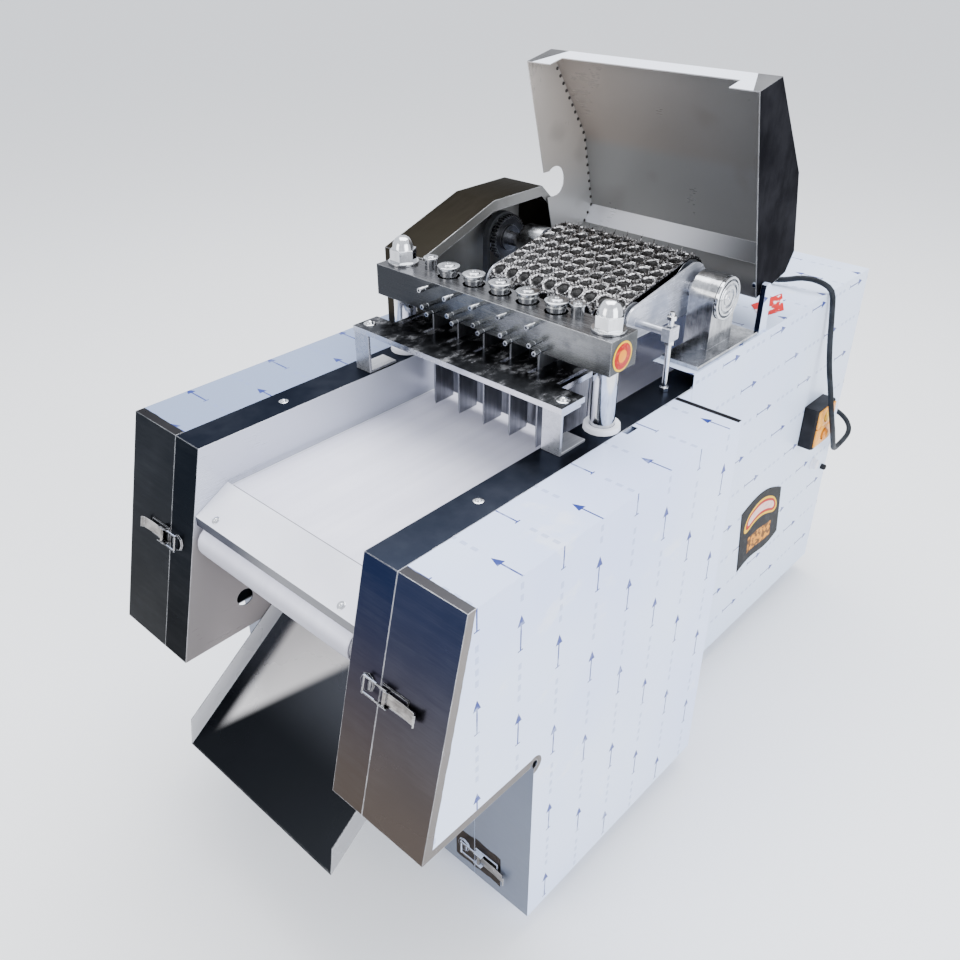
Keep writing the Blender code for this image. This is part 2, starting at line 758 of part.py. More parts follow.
def long_blade(x):
    """Upright blade along the belt, sharpened at its lower edge."""
    half = BLADE_THICK / 2
    top = up(HEAD_LOW_UP) - GAP
    low = top - BLADE_LENGTH
    outline = [
        (x - half, top), (x - half, low + BLADE_EDGE), (x, low), (x + half, low + BLADE_EDGE),
        (x + half, top),
    ]
    return prism(outline, back(BLADE_FRONT_BACK), back(BLADE_FRONT_BACK + BLADE_DEPTH), "Y")


def cross_knife():
    """Knife across the belt behind the long blades, sharpened on its rear face."""
    top = up(HEAD_LOW_UP) - GAP
    low = top - BLADE_LENGTH
    front, rear = back(CROSS_KNIFE_BACK), back(CROSS_KNIFE_BACK + CROSS_KNIFE_THICK)
    outline = [(front, top), (front, low), (rear, low + BLADE_EDGE), (rear, top)]
    return prism(outline, -CROSS_KNIFE_HALF, CROSS_KNIFE_HALF)


def stripper_plate():
    """Plate that holds the meat down, with a slot for each blade."""
    ends = (
        (-STRIPPER_HALF, STRIPPER_FRONT_BACK), (STRIPPER_HALF, STRIPPER_FRONT_BACK),
        (STRIPPER_HALF, STRIPPER_SHOULDER_BACK), (STRIPPER_WAIST_HALF, STRIPPER_SHOULDER_BACK),
        (STRIPPER_WAIST_HALF, STRIPPER_REAR_BACK), (-STRIPPER_WAIST_HALF, STRIPPER_REAR_BACK),
        (-STRIPPER_WAIST_HALF, STRIPPER_SHOULDER_BACK), (-STRIPPER_HALF, STRIPPER_SHOULDER_BACK),
    )
    low, high = up(STRIPPER_UP - STRIPPER_THICK), up(STRIPPER_UP)
    plate = prism([(x, back(b)) for x, b in ends], low, high, "Z")
    front = back(BLADE_FRONT_BACK) - 0.020
    rear = back(BLADE_FRONT_BACK + BLADE_DEPTH) + SLOT_CLEAR
    slots = [
        box(x - SLOT_WIDTH / 2, x + SLOT_WIDTH / 2, front, rear, low - SHEET, high + SHEET)
        for x in blade_places(SLOT_COUNT)
    ]
    return combine(plate, cuts=slots)


def stripper_bracket():
    """Folded bracket from the channel's top to the stripper plate: foot, web and top flange."""
    front = STRIPPER_FRONT_BACK + 0.001
    top = STRIPPER_UP - STRIPPER_THICK - GAP
    path = yz([(front + BRACKET_FOOT, GAP), (front, GAP), (front, top), (front + BRACKET_FOOT - 0.014, top)])
    return prism(folded(path, -BRACKET_THICK), BRACKET_X, BRACKET_X + BRACKET_WIDTH)


def post_bush():
    """White flanged bush that guides a post through the channel's top."""
    bore = POST_RADIUS + GAP
    profile = [
        (up(-0.020), bore), (up(-0.020), bore + 0.0022), (up(GAP), bore + 0.0022), (up(GAP), 0.0262),
        (up(0.008), 0.0252), (up(0.008), bore),
    ]
    return ring("Z", POST_X, back(POST_BACK), profile)


# Crank drive
def wrist_z():
    return up(YOKE_TOP_UP - YOKE_HEIGHT - WRIST_DROP)


def crank_geometry():
    """Crankshaft height and crank pin place at rest, with the head a little above its lowest point."""
    height = ROD_LENGTH - CRANK_THROW + STROKE_DOWN
    drop = (ROD_LENGTH ** 2 - CRANK_THROW ** 2 - height ** 2) / (2 * height)
    reach = math.sqrt(CRANK_THROW ** 2 - drop ** 2)
    centre_z = wrist_z() - height
    return centre_z, (back(POST_BACK) + reach, centre_z - drop)


def yoke():
    """Lower crossbar between the posts, with a wrist pin for each connecting rod."""
    y = back(POST_BACK)
    low, high = up(YOKE_TOP_UP - YOKE_HEIGHT), up(YOKE_TOP_UP)
    bar = box(-YOKE_HALF, YOKE_HALF, y - YOKE_DEPTH / 2, y + YOKE_DEPTH / 2, low, high)
    joins = []
    for side in (-1, 1):
        inner = side * (ROD_X + ROD_THICK + GAP)
        ends = sorted((inner, inner + side * LUG_THICK))
        lug = [(y - 0.015, low + 0.002), (y + 0.015, low + 0.002)]
        lug += [
            (y + 0.015 * math.cos(t), wrist_z() - 0.015 * math.sin(t))
            for t in (math.pi * k / 6 for k in range(7))
        ]
        joins.append(prism(lug, *ends))
        joins.append(
            rod(
                "X", y, wrist_z(), WRIST_RADIUS,
                *sorted((side * (ROD_X - 0.001), inner + side * 0.004)), count=16,
            )
        )
    return combine(bar, joins=joins)


def connecting_rod():
    """Plate rod between the wrist pin and the crank pin, with both eyes bored."""
    pin = crank_geometry()[1]
    small = (back(POST_BACK), wrist_z(), ROD_SMALL_RADIUS)
    outline = loop_round([(*pin, ROD_BIG_RADIUS), small])
    body = prism(outline, ROD_X, ROD_X + ROD_THICK)
    ends = ROD_X - SHEET, ROD_X + ROD_THICK + SHEET
    eyes = (
        rod("X", small[0], small[1], WRIST_RADIUS + GAP, *ends, count=16),
        rod("X", *pin, CRANK_PIN_RADIUS + GAP, *ends),
    )
    return combine(body, cuts=eyes)


def crankshaft():
    """Shaft with a grooved flywheel pulley, two crank webs and their pins."""
    y = back(POST_BACK)
    z, pin = crank_geometry()
    web = ROD_X - 0.006
    rim = [
        (-PULLEY_HALF, FLYWHEEL_RADIUS), (-GROOVE_HALF, FLYWHEEL_RADIUS),
        (-GROOVE_HALF, FLYWHEEL_RADIUS - GROOVE_DEPTH),
    ]
    half = [(-web, SHAFT_RADIUS), (-PULLEY_HALF, SHAFT_RADIUS)] + rim
    profile = half + [(-w, r) for w, r in half[::-1]]
    joins = []
    for side in (-1, 1):
        outline = loop_round([(y, z, 0.026), (*pin, 0.018)], math.radians(24))
        joins.append(prism(outline, *sorted((side * (web - WEB_THICK), side * web))))
        joins.append(
            rod(
                "X", *pin, CRANK_PIN_RADIUS,
                *sorted((side * (web - 0.002), side * (ROD_X - OPEN_PIVOT_GAP))), count=16,
            )
        )
    return combine(turned("X", y, z, profile), joins=joins)


def crank_stand():
    """Two bearing uprights on one base plate, bolted to the casing's floor."""
    y = back(POST_BACK)
    z = crank_geometry()[0]
    floor = BASE_Z + SHEET + GAP
    base = box(-STAND_X - STAND_THICK, STAND_X + STAND_THICK, y - 0.045, y + 0.045, floor, floor + 0.008)
    joins, cuts = [], []
    for side in (-1, 1):
        ends = sorted((side * STAND_X, side * (STAND_X + STAND_THICK)))
        arch = [(y - 0.036, floor + 0.004), (y + 0.036, floor + 0.004)]
        arch += [
            (y + STAND_ARCH * math.cos(t), z + STAND_ARCH * math.sin(t))
            for t in (math.pi * k / 8 for k in range(9))
        ]
        joins.append(prism(arch, *ends))
        cuts.append(rod("X", y, z, SHAFT_RADIUS + GAP, ends[0] - SHEET, ends[1] + SHEET))
    return combine(base, joins=joins, cuts=cuts)


def motor_z():
    return BASE_Z + SHEET + GAP + MOTOR_RADIUS + 0.018


def motor():
    """Foot-mounted motor in the rear cabinet, its fan cowl to the right."""
    y, z = back(MOTOR_BACK), motor_z()
    end = MOTOR_X + MOTOR_LENGTH
    profile = [
        (MOTOR_X, 0.030), (MOTOR_X + 0.008, 0.052), (MOTOR_X + 0.018, MOTOR_RADIUS),
        (end - 0.040, MOTOR_RADIUS), (end - 0.038, 0.056), (end - 0.004, 0.056), (end, 0.048),
    ]
    floor = BASE_Z + SHEET + GAP
    base = box(MOTOR_X + 0.020, end - 0.050, y - 0.055, y + 0.055, floor, floor + 0.008)
    saddle = box(MOTOR_X + 0.024, end - 0.054, y - 0.030, y + 0.030, floor + 0.004, z)
    terminal_box = box(MOTOR_X + 0.040, end - 0.060, y - 0.030, y + 0.030, z + 0.040, z + 0.082)
    return combine(turned("X", y, z, profile), joins=(base, saddle, terminal_box))


def motor_pulley():
    """Grooved pulley on the motor's shaft end."""
    rim = [
        (-PULLEY_HALF, MOTOR_PULLEY_RADIUS), (-GROOVE_HALF, MOTOR_PULLEY_RADIUS),
        (-GROOVE_HALF, MOTOR_PULLEY_RADIUS - GROOVE_DEPTH),
    ]
    profile = rim + [(-w, r) for w, r in rim[::-1]]
    profile += [(PULLEY_HALF, 0.010), (MOTOR_X - GAP, 0.010)]
    return turned("X", back(MOTOR_BACK), motor_z(), profile)


def drive_belt():
    """V-belt from the motor pulley to the flywheel."""
    z = crank_geometry()[0]
    circles = [
        (back(POST_BACK), z, FLYWHEEL_RADIUS - GROOVE_DEPTH + GAP),
        (back(MOTOR_BACK), motor_z(), MOTOR_PULLEY_RADIUS - GROOVE_DEPTH + GAP),
    ]
    return band(loop_round(grown(circles, V_BELT_THICK)), loop_round(circles), -V_BELT_HALF, V_BELT_HALF)


# Press conveyor
def press_circles(extra=0.0):
    """Front roller and rear drum of the press mat, anticlockwise, with extra radius."""
    return [
        (back(PRESS_NOSE_BACK), up(PRESS_NOSE_UP), PRESS_NOSE_RADIUS + extra),
        (back(PRESS_BACK), up(PRESS_UP), PRESS_DRUM_RADIUS + extra),
    ]


def even_loop(circles, count):
    """Points spaced evenly along a tight loop round two circles, each with its outward normal."""
    (u1, v1, r1), (u2, v2, r2) = circles
    span = math.hypot(u2 - u1, v2 - v1)
    lean = math.acos((r1 - r2) / span)
    along = math.atan2(v2 - v1, u2 - u1)
    below, above = along - lean, along + lean
    straight = math.sqrt(span ** 2 - (r1 - r2) ** 2)
    sweep_front = 2 * math.pi - 2 * lean
    sweep_rear = 2 * lean
    lengths = [straight, r2 * sweep_rear, straight, r1 * sweep_front]
    total = sum(lengths)
    places = []
    for k in range(count):
        s = total * k / count
        if s < lengths[0]:
            angle, mix = below, s / straight
        elif s < sum(lengths[:2]):
            angle, mix = below + (s - lengths[0]) / r2, 1.0
        elif s < sum(lengths[:3]):
            angle, mix = above, 1.0 - (s - sum(lengths[:2])) / straight
        else:
            angle, mix = above + (s - sum(lengths[:3])) / r1, 0.0
        u, v, r = u1 + (u2 - u1) * mix, v1 + (v2 - v1) * mix, r1 + (r2 - r1) * mix
        normal = (math.cos(angle), math.sin(angle))
        places.append(((u + r * normal[0], v + r * normal[1]), normal))
    return places


def press_mat():
    """Steel mat round the two rollers. Each crossing of its rows and columns rises into a spike."""
    count = 2 * MAT_ROWS
    places = even_loop(press_circles(MAT_CLEAR + MAT_THICK), count)
    pitch = 2 * MAT_HALF / MAT_COLUMNS
    edges = [-MAT_HALF]
    for k in range(MAT_COLUMNS):
        middle = -MAT_HALF + pitch * (k + 0.5)
        edges += [middle - pitch * SPIKE_SHARE / 2, middle + pitch * SPIKE_SHARE / 2]
    edges.append(MAT_HALF)
    made = bmesh.new()
    outer = [[made.verts.new((x, *point)) for x in edges] for point, _ in places]
    inner = []
    for (u, v), normal in places:
        inside = (u - normal[0] * MAT_THICK, v - normal[1] * MAT_THICK)
        inner.append([made.verts.new((x, *inside)) for x in (edges[0], edges[-1])])
    for i in range(count):
        j = (i + 1) % count
        for c in range(len(edges) - 1):
            corners = (outer[i][c], outer[i][c + 1], outer[j][c + 1], outer[j][c])
            if i % 2 == 0 and c % 2 == 1:
                normal = Vector((0, *places[i][1])) + Vector((0, *places[j][1]))
                middle = sum((corner.co for corner in corners), Vector()) / 4
                tip = made.verts.new(middle + normal.normalized() * SPIKE_HEIGHT)
                for a in range(4):
                    made.faces.new((corners[a], corners[(a + 1) % 4], tip))
            else:
                made.faces.new(corners)
        made.faces.new((inner[j][0], inner[j][1], inner[i][1], inner[i][0]))
        made.faces.new((outer[i][0], outer[j][0], inner[j][0], inner[i][0]))
        made.faces.new((outer[j][-1], outer[i][-1], inner[i][1], inner[j][1]))
    bmesh.ops.recalc_face_normals(made, faces=made.faces)
    return made


def press_frame():
    """Two side plates tied by the front axle, whose right end rests in the adjusting screw's slide."""
    nose_y, nose_z = back(PRESS_NOSE_BACK), up(PRESS_NOSE_UP)
    rear_y, rear_z = back(PRESS_BACK), up(PRESS_UP)
    outline = loop_round(
        [(nose_y, nose_z, SIDE_PLATE_FRONT_RADIUS), (rear_y, rear_z, SIDE_PLATE_REAR_RADIUS)]
    )
    plates = [
        prism(outline, *sorted((side * SIDE_PLATE_X, side * (SIDE_PLATE_X + SIDE_PLATE_THICK))))
        for side in (-1, 1)
    ]
    far = SIDE_PLATE_X + SIDE_PLATE_THICK
    axle = rod("X", nose_y, nose_z, NOSE_AXLE_RADIUS, -far - 0.003, SCREW_X + 0.006, 12)
    slide = box(
        SCREW_X - SLIDE_HALF, SCREW_X + SLIDE_HALF, nose_y - 0.012, nose_y + 0.012, nose_z - 0.010,
        nose_z + 0.010,
    )
    way = box(
        SCREW_X - SCREW_RADIUS - GAP, SCREW_X + SCREW_RADIUS + GAP, nose_y - 0.007, nose_y + 0.007,
        nose_z - 0.020, nose_z + 0.020,
    )
    bores = [
        rod(
            "X", rear_y, rear_z, PRESS_SHAFT_RADIUS + GAP, side * SIDE_PLATE_X - 0.010,
            side * SIDE_PLATE_X + 0.010,
        )
        for side in (-1, 1)
    ]
    return combine(axle, joins=plates + [slide], cuts=bores + [way])


def press_front_roller():
    """Tube roller that turns on the frame's front axle."""
    y, z, radius = press_circles()[0]
    end = SIDE_PLATE_X - GAP
    bore = NOSE_AXLE_RADIUS + GAP
    profile = [
        (-end, bore), (-end, 0.012), (-MAT_HALF, 0.012), (-MAT_HALF, radius), (MAT_HALF, radius),
        (MAT_HALF, 0.012), (end, 0.012), (end, bore),
    ]
    return ring("X", y, z, profile)


def sprocket_outline(y, z):
    """Toothed outline: each tooth is a flat tip between two roots."""
    points = []
    pitch = 2 * math.pi / SPROCKET_TEETH
    for k in range(SPROCKET_TEETH):
        for share, radius in (
            (-0.32, SPROCKET_RADIUS - TOOTH_DEPTH), (-0.12, SPROCKET_RADIUS), (0.12, SPROCKET_RADIUS),
            (0.32, SPROCKET_RADIUS - TOOTH_DEPTH),
        ):
            angle = (k + share) * pitch
            points.append((y + radius * math.cos(angle), z + radius * math.sin(angle)))
    return points


def press_shaft():
    """Drive shaft of the press conveyor with its drum and, outside on the left, its sprocket."""
    y, z, radius = press_circles()[1]
    r = PRESS_SHAFT_RADIUS
    profile = [
        (-SPROCKET_X - 0.008, r), (-MAT_HALF, r), (-MAT_HALF, radius), (MAT_HALF, radius),
        (MAT_HALF, r), (BLOCK_X + BLOCK_WIDTH, r),
    ]
    wheel = prism(sprocket_outline(y, z), -SPROCKET_X - SPROCKET_THICK / 2, -SPROCKET_X + SPROCKET_THICK / 2)
    hub = rod("X", y, z, 0.020, -SPROCKET_X + 0.002, -SPROCKET_X + 0.022, 12)
    return combine(turned("X", y, z, profile), joins=(wheel, hub))


def jackshaft():
    """Short shaft in the rear cabinet that drives the press conveyor's chain."""
    y, z = back(PRESS_BACK), up(JACK_UP)
    shaft = rod("X", y, z, JACK_RADIUS, -SPROCKET_X - 0.008, -TUNNEL_HALF - SHEET - GAP, 16)
    wheel = prism(sprocket_outline(y, z), -SPROCKET_X - SPROCKET_THICK / 2, -SPROCKET_X + SPROCKET_THICK / 2)
    return combine(shaft, joins=(wheel,))


def roller_chain():
    """Chain loop round the two sprockets."""
    reach = SPROCKET_RADIUS + GAP
    circles = [(back(PRESS_BACK), up(JACK_UP), reach), (back(PRESS_BACK), up(PRESS_UP), reach)]
    return band(
        loop_round(grown(circles, CHAIN_THICK)), loop_round(circles), -SPROCKET_X - CHAIN_HALF,
        -SPROCKET_X + CHAIN_HALF,
    )


def bearing_block():
    """Arched bearing housing on a base plate, with a round cap on its outer face."""
    y, z = back(PRESS_BACK), up(PRESS_UP)
    low = DECK_Z + GAP
    arch = [(y - BLOCK_RADIUS, low + 0.002), (y + BLOCK_RADIUS, low + 0.002)]
    arch += [
        (y + BLOCK_RADIUS * math.cos(t), z + BLOCK_RADIUS * math.sin(t))
        for t in (math.pi * k / 10 for k in range(11))
    ]
    body = prism(arch, BLOCK_X, BLOCK_X + BLOCK_WIDTH)
    base = box(
        BLOCK_X, CORE_HALF - 0.0035, y - BLOCK_BASE_FRONT, y + BLOCK_BASE_REAR, low,
        low + BLOCK_BASE_THICK,
    )
    face = BLOCK_X + BLOCK_WIDTH
    cap = turned(
        "X", y, z,
        [
            (face - 0.004, CAP_RADIUS), (face + CAP_PROUD - 0.001, CAP_RADIUS),
            (face + CAP_PROUD, CAP_RADIUS - 0.001),
        ],
    )
    bore = rod("X", y, z, PRESS_SHAFT_RADIUS + GAP, BLOCK_X - SHEET, face + CAP_PROUD + SHEET)
    return combine(body, joins=(base, cap), cuts=(bore,))


def adjusting_screw():
    """Threaded rod through the channel's top, with a nut on it, one under the slide and one above."""
    x, y = SCREW_X, back(PRESS_NOSE_BACK)
    shank = rod("Z", x, y, SCREW_RADIUS, up(-0.030), up(SCREW_TOP_UP), 12)
    slide = up(PRESS_NOSE_UP)
    spans = ((up(GAP), up(0.007)), (slide - 0.0165, slide - 0.010 - GAP), (slide + 0.0205, slide + 0.0265))
    return combine(shank, joins=[rod("Z", x, y, SCREW_NUT_RADIUS, low, high, 6) for low, high in spans])


# Chain guard
def chain_guard():
    """Folded guard over the chain: roof strip, outer panel, narrow inner lip and a foot."""
    sheet = GUARD_SHEET
    roof = yz(
        [
            (GUARD_FRONT_BACK, GAP + 0.0007), (GUARD_FRONT_BACK, GUARD_FRONT_UP),
            (GUARD_CREST_BACK, GUARD_TOP_UP), (GUARD_REAR_BACK, GUARD_TOP_UP),
            (GUARD_END_BACK, GUARD_END_UP), (GUARD_END_BACK, DECK_RISE + GAP),
        ]
    )
    wide = prism(folded(roof, -sheet), -GUARD_OUTER_X, -GUARD_INNER_X)
    low_box = yz(
        [
            (GUARD_END_BACK, DECK_RISE + 0.003), (GUARD_END_BACK, GUARD_BOX_UP),
            (GUARD_BOX_BACK, GUARD_BOX_UP), (GUARD_BOX_BACK, GAP + 0.0007),
        ]
    )
    skirt = prism(folded(low_box, -sheet), -GUARD_OUTER_X, -CORE_HALF - GAP)
    panel = prism(roof[:5] + low_box[1:], -GUARD_OUTER_X, -GUARD_OUTER_X + sheet)
    crown = roof[1:5]
    lip = prism(crown + [(u, v - GUARD_LIP) for u, v in crown[::-1]], -GUARD_INNER_X - sheet, -GUARD_INNER_X)
    foot_plate = box(
        -GUARD_INNER_X - sheet, -GUARD_INNER_X + 0.030, roof[0][0], roof[0][0] + 0.028, up(GAP),
        up(GAP + sheet),
    )
    toe = box(-GUARD_INNER_X - 0.011, -GUARD_INNER_X, roof[0][0], roof[0][0] + 0.010, up(GAP), up(0.010))
    return combine(wide, joins=(skirt, panel, lip, foot_plate, toe))


# Hood
def hood():
    """Folded cover over the press conveyor, stored open: roof sheet, two side panels and a cut lip."""
    profile = yz(HOOD_PROFILE)
    roof = prism(folded(profile, -HOOD_SHEET), -HOOD_HALF, HOOD_HALF)
    sides = [prism(profile, *sorted((side * HOOD_HALF, side * (HOOD_HALF - HOOD_SHEET)))) for side in (-1, 1)]
    hinge_y, hinge_z = back(HINGE_BACK), up(HINGE_UP)
    cuts = [
        rod(
            "X", hinge_y, hinge_z, HINGE_PIN_RADIUS + GAP, side * HOOD_HALF - 0.006,
            side * HOOD_HALF + 0.006, 12,
        )
        for side in (-1, 1)
    ]
    y, z = back(HOOD_NOTCH_BACK), up(HOOD_NOTCH_UP)
    cuts.append(rod("X", y, z, HOOD_NOTCH_RADIUS, -HOOD_HALF - 0.006, -HOOD_HALF + 0.006, 24))
    cuts.append(box(-HOOD_HALF - 0.006, -HOOD_HALF + 0.006, y - 0.080, y, z - 0.025, z + 0.020))
    lip_y, lip_z = profile[0]
    cuts.append(
        box(
            -HOOD_LIP_HALF, HOOD_LIP_HALF, lip_y - 0.010, lip_y + HOOD_LIP_CUT, lip_z - 0.010,
            lip_z + 0.020,
        )
    )
    return combine(roof, joins=sides, cuts=cuts)


# Side covers and latches
def side_cover():
    """Lift-open box over one side: outer panel with its rim, the moving knuckles and the latch base."""
    inner_x = CORE_HALF + GAP
    outline = yz(
        [
            (0, 0), (-NOSE_LEAN, -NOSE_DROP), (LOWER_BACK, -NOSE_DROP), (LOWER_BACK, -BODY_HEIGHT),
            (COVER_BACK, -BODY_HEIGHT), (COVER_BACK, 0),
        ]
    )
    body = prism(outline, inner_x, HALF_WIDTH)
    hollow = prism(offset(outline, SHEET), inner_x - SHEET, HALF_WIDTH - SHEET)
    relief = rod(
        "X", back(LOWER_BACK), up(-NOSE_DROP), 0.007, HALF_WIDTH - SHEET - 0.001, HALF_WIDTH + SHEET, 16,
    )
    slot = box(
        inner_x - SHEET, inner_x + 0.010, back(POST_BACK) + 0.008, back(POST_BACK) + 0.032,
        up(-2 * SHEET), up(SHEET),
    )
    joins = []
    rear, y = back(COVER_BACK), back(COVER_HINGE_BACK)
    for low, high in knuckle_spans(1):
        joins.append(box(COVER_HINGE_X + 0.001, COVER_HINGE_X + 0.003, rear - SHEET / 2, y, low, high))
        joins.append(rod("Z", COVER_HINGE_X, y, KNUCKLE_RADIUS, low, high, 6))
    joins += [latch_base(which) for which in (0, 1)]
    return combine(body, joins=joins, cuts=(hollow, relief, slot))


def latch_frame(which):
    """Frame of the upper (0) or the lower (1) latch, at the cover's seam on the front face.

    In it X runs outwards across the seam, Z up the face and -Y straight off it."""
    height, forward, lean = LATCH_PLACES[which]
    return Matrix.Translation((CORE_HALF, back(-forward), up(height))) @ Matrix.Rotation(-lean, 4, "X")


def on_face(shape, which):
    """Moves a shape from a latch's own frame to its place."""
    bmesh.ops.transform(shape, matrix=latch_frame(which), verts=shape.verts)
    return shape


def keeper(which):
    """Round keeper plate with a low hook on the front face."""
    plate = rod("Y", -0.020, 0.0, KEEPER_RADIUS, -0.003, SHEET / 2, 8)
    hook = box(-0.016, -0.013, -0.005, 0.0, -0.006, 0.006)
    return on_face(combine(plate, joins=(hook,)), which)


def latch_base(which):
    """Base plate on the cover with two ears and the wire bail that reaches over the keeper."""
    plate = box(0.003, 0.003 + LATCH_BASE_LENGTH, -0.002, SHEET / 2, -LATCH_HALF, LATCH_HALF)
    ears = [
        box(
            0.006, 0.020, -0.009, 0.0,
            *sorted((side * (LATCH_HALF - 0.0004), side * (LATCH_HALF - 0.0019)))
        )
        for side in (-1, 1)
    ]
    reach = -0.022
    wires = [rod("X", -0.0070, side * (LATCH_HALF - 0.001), WIRE_RADIUS, reach, 0.016, 6) for side in (-1, 1)]
    cross = rod("Z", reach + WIRE_RADIUS, -0.0070, WIRE_RADIUS, -LATCH_HALF - 0.0006, LATCH_HALF + 0.0006, 6)
    return on_face(combine(plate, joins=ears + wires + [cross]), which)


def latch_pivot(which):
    """Centre of a lever's pivot."""
    return latch_frame(which) @ Vector((0.013, -0.0055, 0.0))


def latch_lever(which):
    """Sprung-steel lever, folded up at its free end."""
    half = LATCH_HALF - 0.004
    path = [
        (0.012, -0.0030), (0.040, -0.0030), (0.008 + LEVER_LENGTH, -0.0045),
        (0.012 + LEVER_LENGTH, -0.0085),
    ]
    blade = prism(folded(path, -0.0018), -half, half, "Z")
    barrel = rod("Z", 0.013, -0.0055, 0.0028, -half - 0.0013, half + 0.0013, 12)
    return on_face(combine(barrel, joins=(blade,)), which)


# Switch box
def switch_box():
    """Housing on the cabinet's side, with two bored bosses for its buttons."""
    x0, x1 = CORE_HALF + GAP, CORE_HALF + GAP + SWITCH_WIDTH
    y0 = back(SWITCH_FRONT_BACK)
    z0 = up(SWITCH_LOW_UP)
    face = [
        (x0, y0), (x1 - 0.004, y0), (x1, y0 + 0.004), (x1, y0 + SWITCH_DEPTH - 0.004),
        (x1 - 0.004, y0 + SWITCH_DEPTH), (x0, y0 + SWITCH_DEPTH),
    ]
    body = prism(face, z0, z0 + SWITCH_HEIGHT, "Z")
    bores = [rod("X", y, z, BUTTON_RADIUS + GAP, x1 - 0.008, x1 + SHEET) for y, z in button_places()]
    return combine(body, cuts=bores)


def button_places():
    """(Y, Z) of the start and the stop button."""
    y = back(SWITCH_FRONT_BACK) + SWITCH_DEPTH * 0.52
    return [(y, up(SWITCH_LOW_UP) + SWITCH_HEIGHT * share) for share in (0.74, 0.28)]


def button(index):
    y, z = button_places()[index]
    face = CORE_HALF + GAP + SWITCH_WIDTH
    inner = face - 0.008 + GAP + BUTTON_TRAVEL
    profile = [
        (inner, BUTTON_RADIUS), (face + BUTTON_PROUD - 0.002, BUTTON_RADIUS),
        (face + BUTTON_PROUD, BUTTON_RADIUS - 0.002),
    ]
    return turned("X", y, z, profile, 16)


# Power cord
def smooth_route(points, spacing):
    """Points every so often along a Catmull-Rom curve through the route's own points."""
    knots = [Vector(p) for p in points]
    knots = [2 * knots[0] - knots[1]] + knots + [2 * knots[-1] - knots[-2]]
    fine = []
    for p0, p1, p2, p3 in zip(knots, knots[1:], knots[2:], knots[3:]):
        for k in range(24):
            t = k / 24
            fine.append(
                0.5 * (
                    2 * p1
                    + (p2 - p0) * t
                    + (2 * p0 - 5 * p1 + 4 * p2 - p3) * t ** 2
                    + (3 * p1 - p0 - 3 * p2 + p3) * t ** 3
                )
            )
    fine.append(knots[-2])
    kept = [fine[0]]
    travelled = 0.0
    for before, after in zip(fine, fine[1:]):
        travelled += (after - before).length
        if travelled >= spacing:
            kept.append(after)
            travelled = 0.0
    kept.append(fine[-1])
    return kept


def cord_route():
    """From the gland on the rear panel round the corner, up the side and over the deck to the coil."""
    side = CORE_HALF
    out = REAR_BACK + 0.0430
    deck = DECK_RISE + CORD_RADIUS + 0.0008
    corner = [
        (GLAND_X + CORD_BEND * (1 - math.cos(t)), out + CORD_BEND * math.sin(t), GLAND_UP - 0.016 * t)
        for t in (math.pi * k / 6 for k in range(7))
    ]
    outer_turn = COIL_MEAN_RADIUS + (COIL_TURNS_WIDE - 1) * CORD_RADIUS
    ring_radius = outer_turn + CORD_RADIUS + GAP
    reach = math.sqrt(ring_radius ** 2 - (outer_turn - CORD_RADIUS) ** 2)
    chosen = [(GLAND_X, REAR_BACK + 0.0234, GLAND_UP)] + corner + [
        (side + 0.018, REAR_BACK - 0.006, GLAND_UP - 0.052),
        (side + 0.025, REAR_BACK - 0.046, GLAND_UP - 0.037),
        (side + 0.037, REAR_BACK - 0.092, GLAND_UP + 0.002),
        (side + 0.045, REAR_BACK - 0.134, GLAND_UP + 0.052),
        (side + 0.046, REAR_BACK - 0.160, GLAND_UP + 0.095),
        (side + 0.038, REAR_BACK - 0.166, GLAND_UP + 0.140),
        (side + 0.025, REAR_BACK - 0.163, GLAND_UP + 0.185),
        (side + 0.015, REAR_BACK - 0.160, GLAND_UP + 0.235),
        (side + 0.0105, REAR_BACK - 0.164, GLAND_UP + 0.282),
        (side + 0.0055, REAR_BACK - 0.173, DECK_RISE + 0.005),
        (side - 0.016, REAR_BACK - 0.184, DECK_RISE + 0.021),
        (side - 0.044, REAR_BACK - 0.190, DECK_RISE + 0.022),
        (side - 0.074, REAR_BACK - 0.192, DECK_RISE + 0.0125),
        (side - 0.106, REAR_BACK - 0.200, deck + 0.0022),
        (COIL_X + 0.072, COIL_BACK - outer_turn - 0.0015, deck),
        (COIL_X + reach, COIL_BACK - outer_turn, deck),
    ]
    return [(x, back(b), up(h)) for x, b, h in chosen]


def power_cord():
    """The cord's free stretch as a curve with a round bevel and filled caps."""
    points = smooth_route(cord_route(), 4 * CORD_RADIUS)
    data = bpy.data.curves.new("power_cord", "CURVE")
    data.dimensions = "3D"
    line = data.splines.new("POLY")
    line.points.add(len(points) - 1)
    for knot, point in zip(line.points, points):
        knot.co = (*point, 1.0)
    data.bevel_depth = CORD_RADIUS
    data.bevel_resolution = 2
    data.use_fill_caps = True
    data.materials.append(GREY_CORD)
    made = bpy.data.objects.new("power_cord", data)
    bpy.context.scene.collection.objects.link(made)


def cord_coil():
    """Outer shape of the cord's stored turns, lying on the deck behind the hood."""
    low = DECK_Z + GAP
    half = COIL_TURNS_WIDE * CORD_RADIUS
    tall = COIL_TURNS_HIGH * 2 * CORD_RADIUS
    inner, outer = COIL_MEAN_RADIUS - half, COIL_MEAN_RADIUS + half
    bevel = CORD_RADIUS * 0.6
    profile = [
        (low, inner + bevel), (low, outer - bevel), (low + bevel, outer), (low + tall - bevel, outer),
        (low + tall, outer - bevel), (low + tall, inner + bevel), (low + tall - bevel, inner),
        (low + bevel, inner),
    ]
    return ring("Z", COIL_X, back(COIL_BACK), profile, 20)


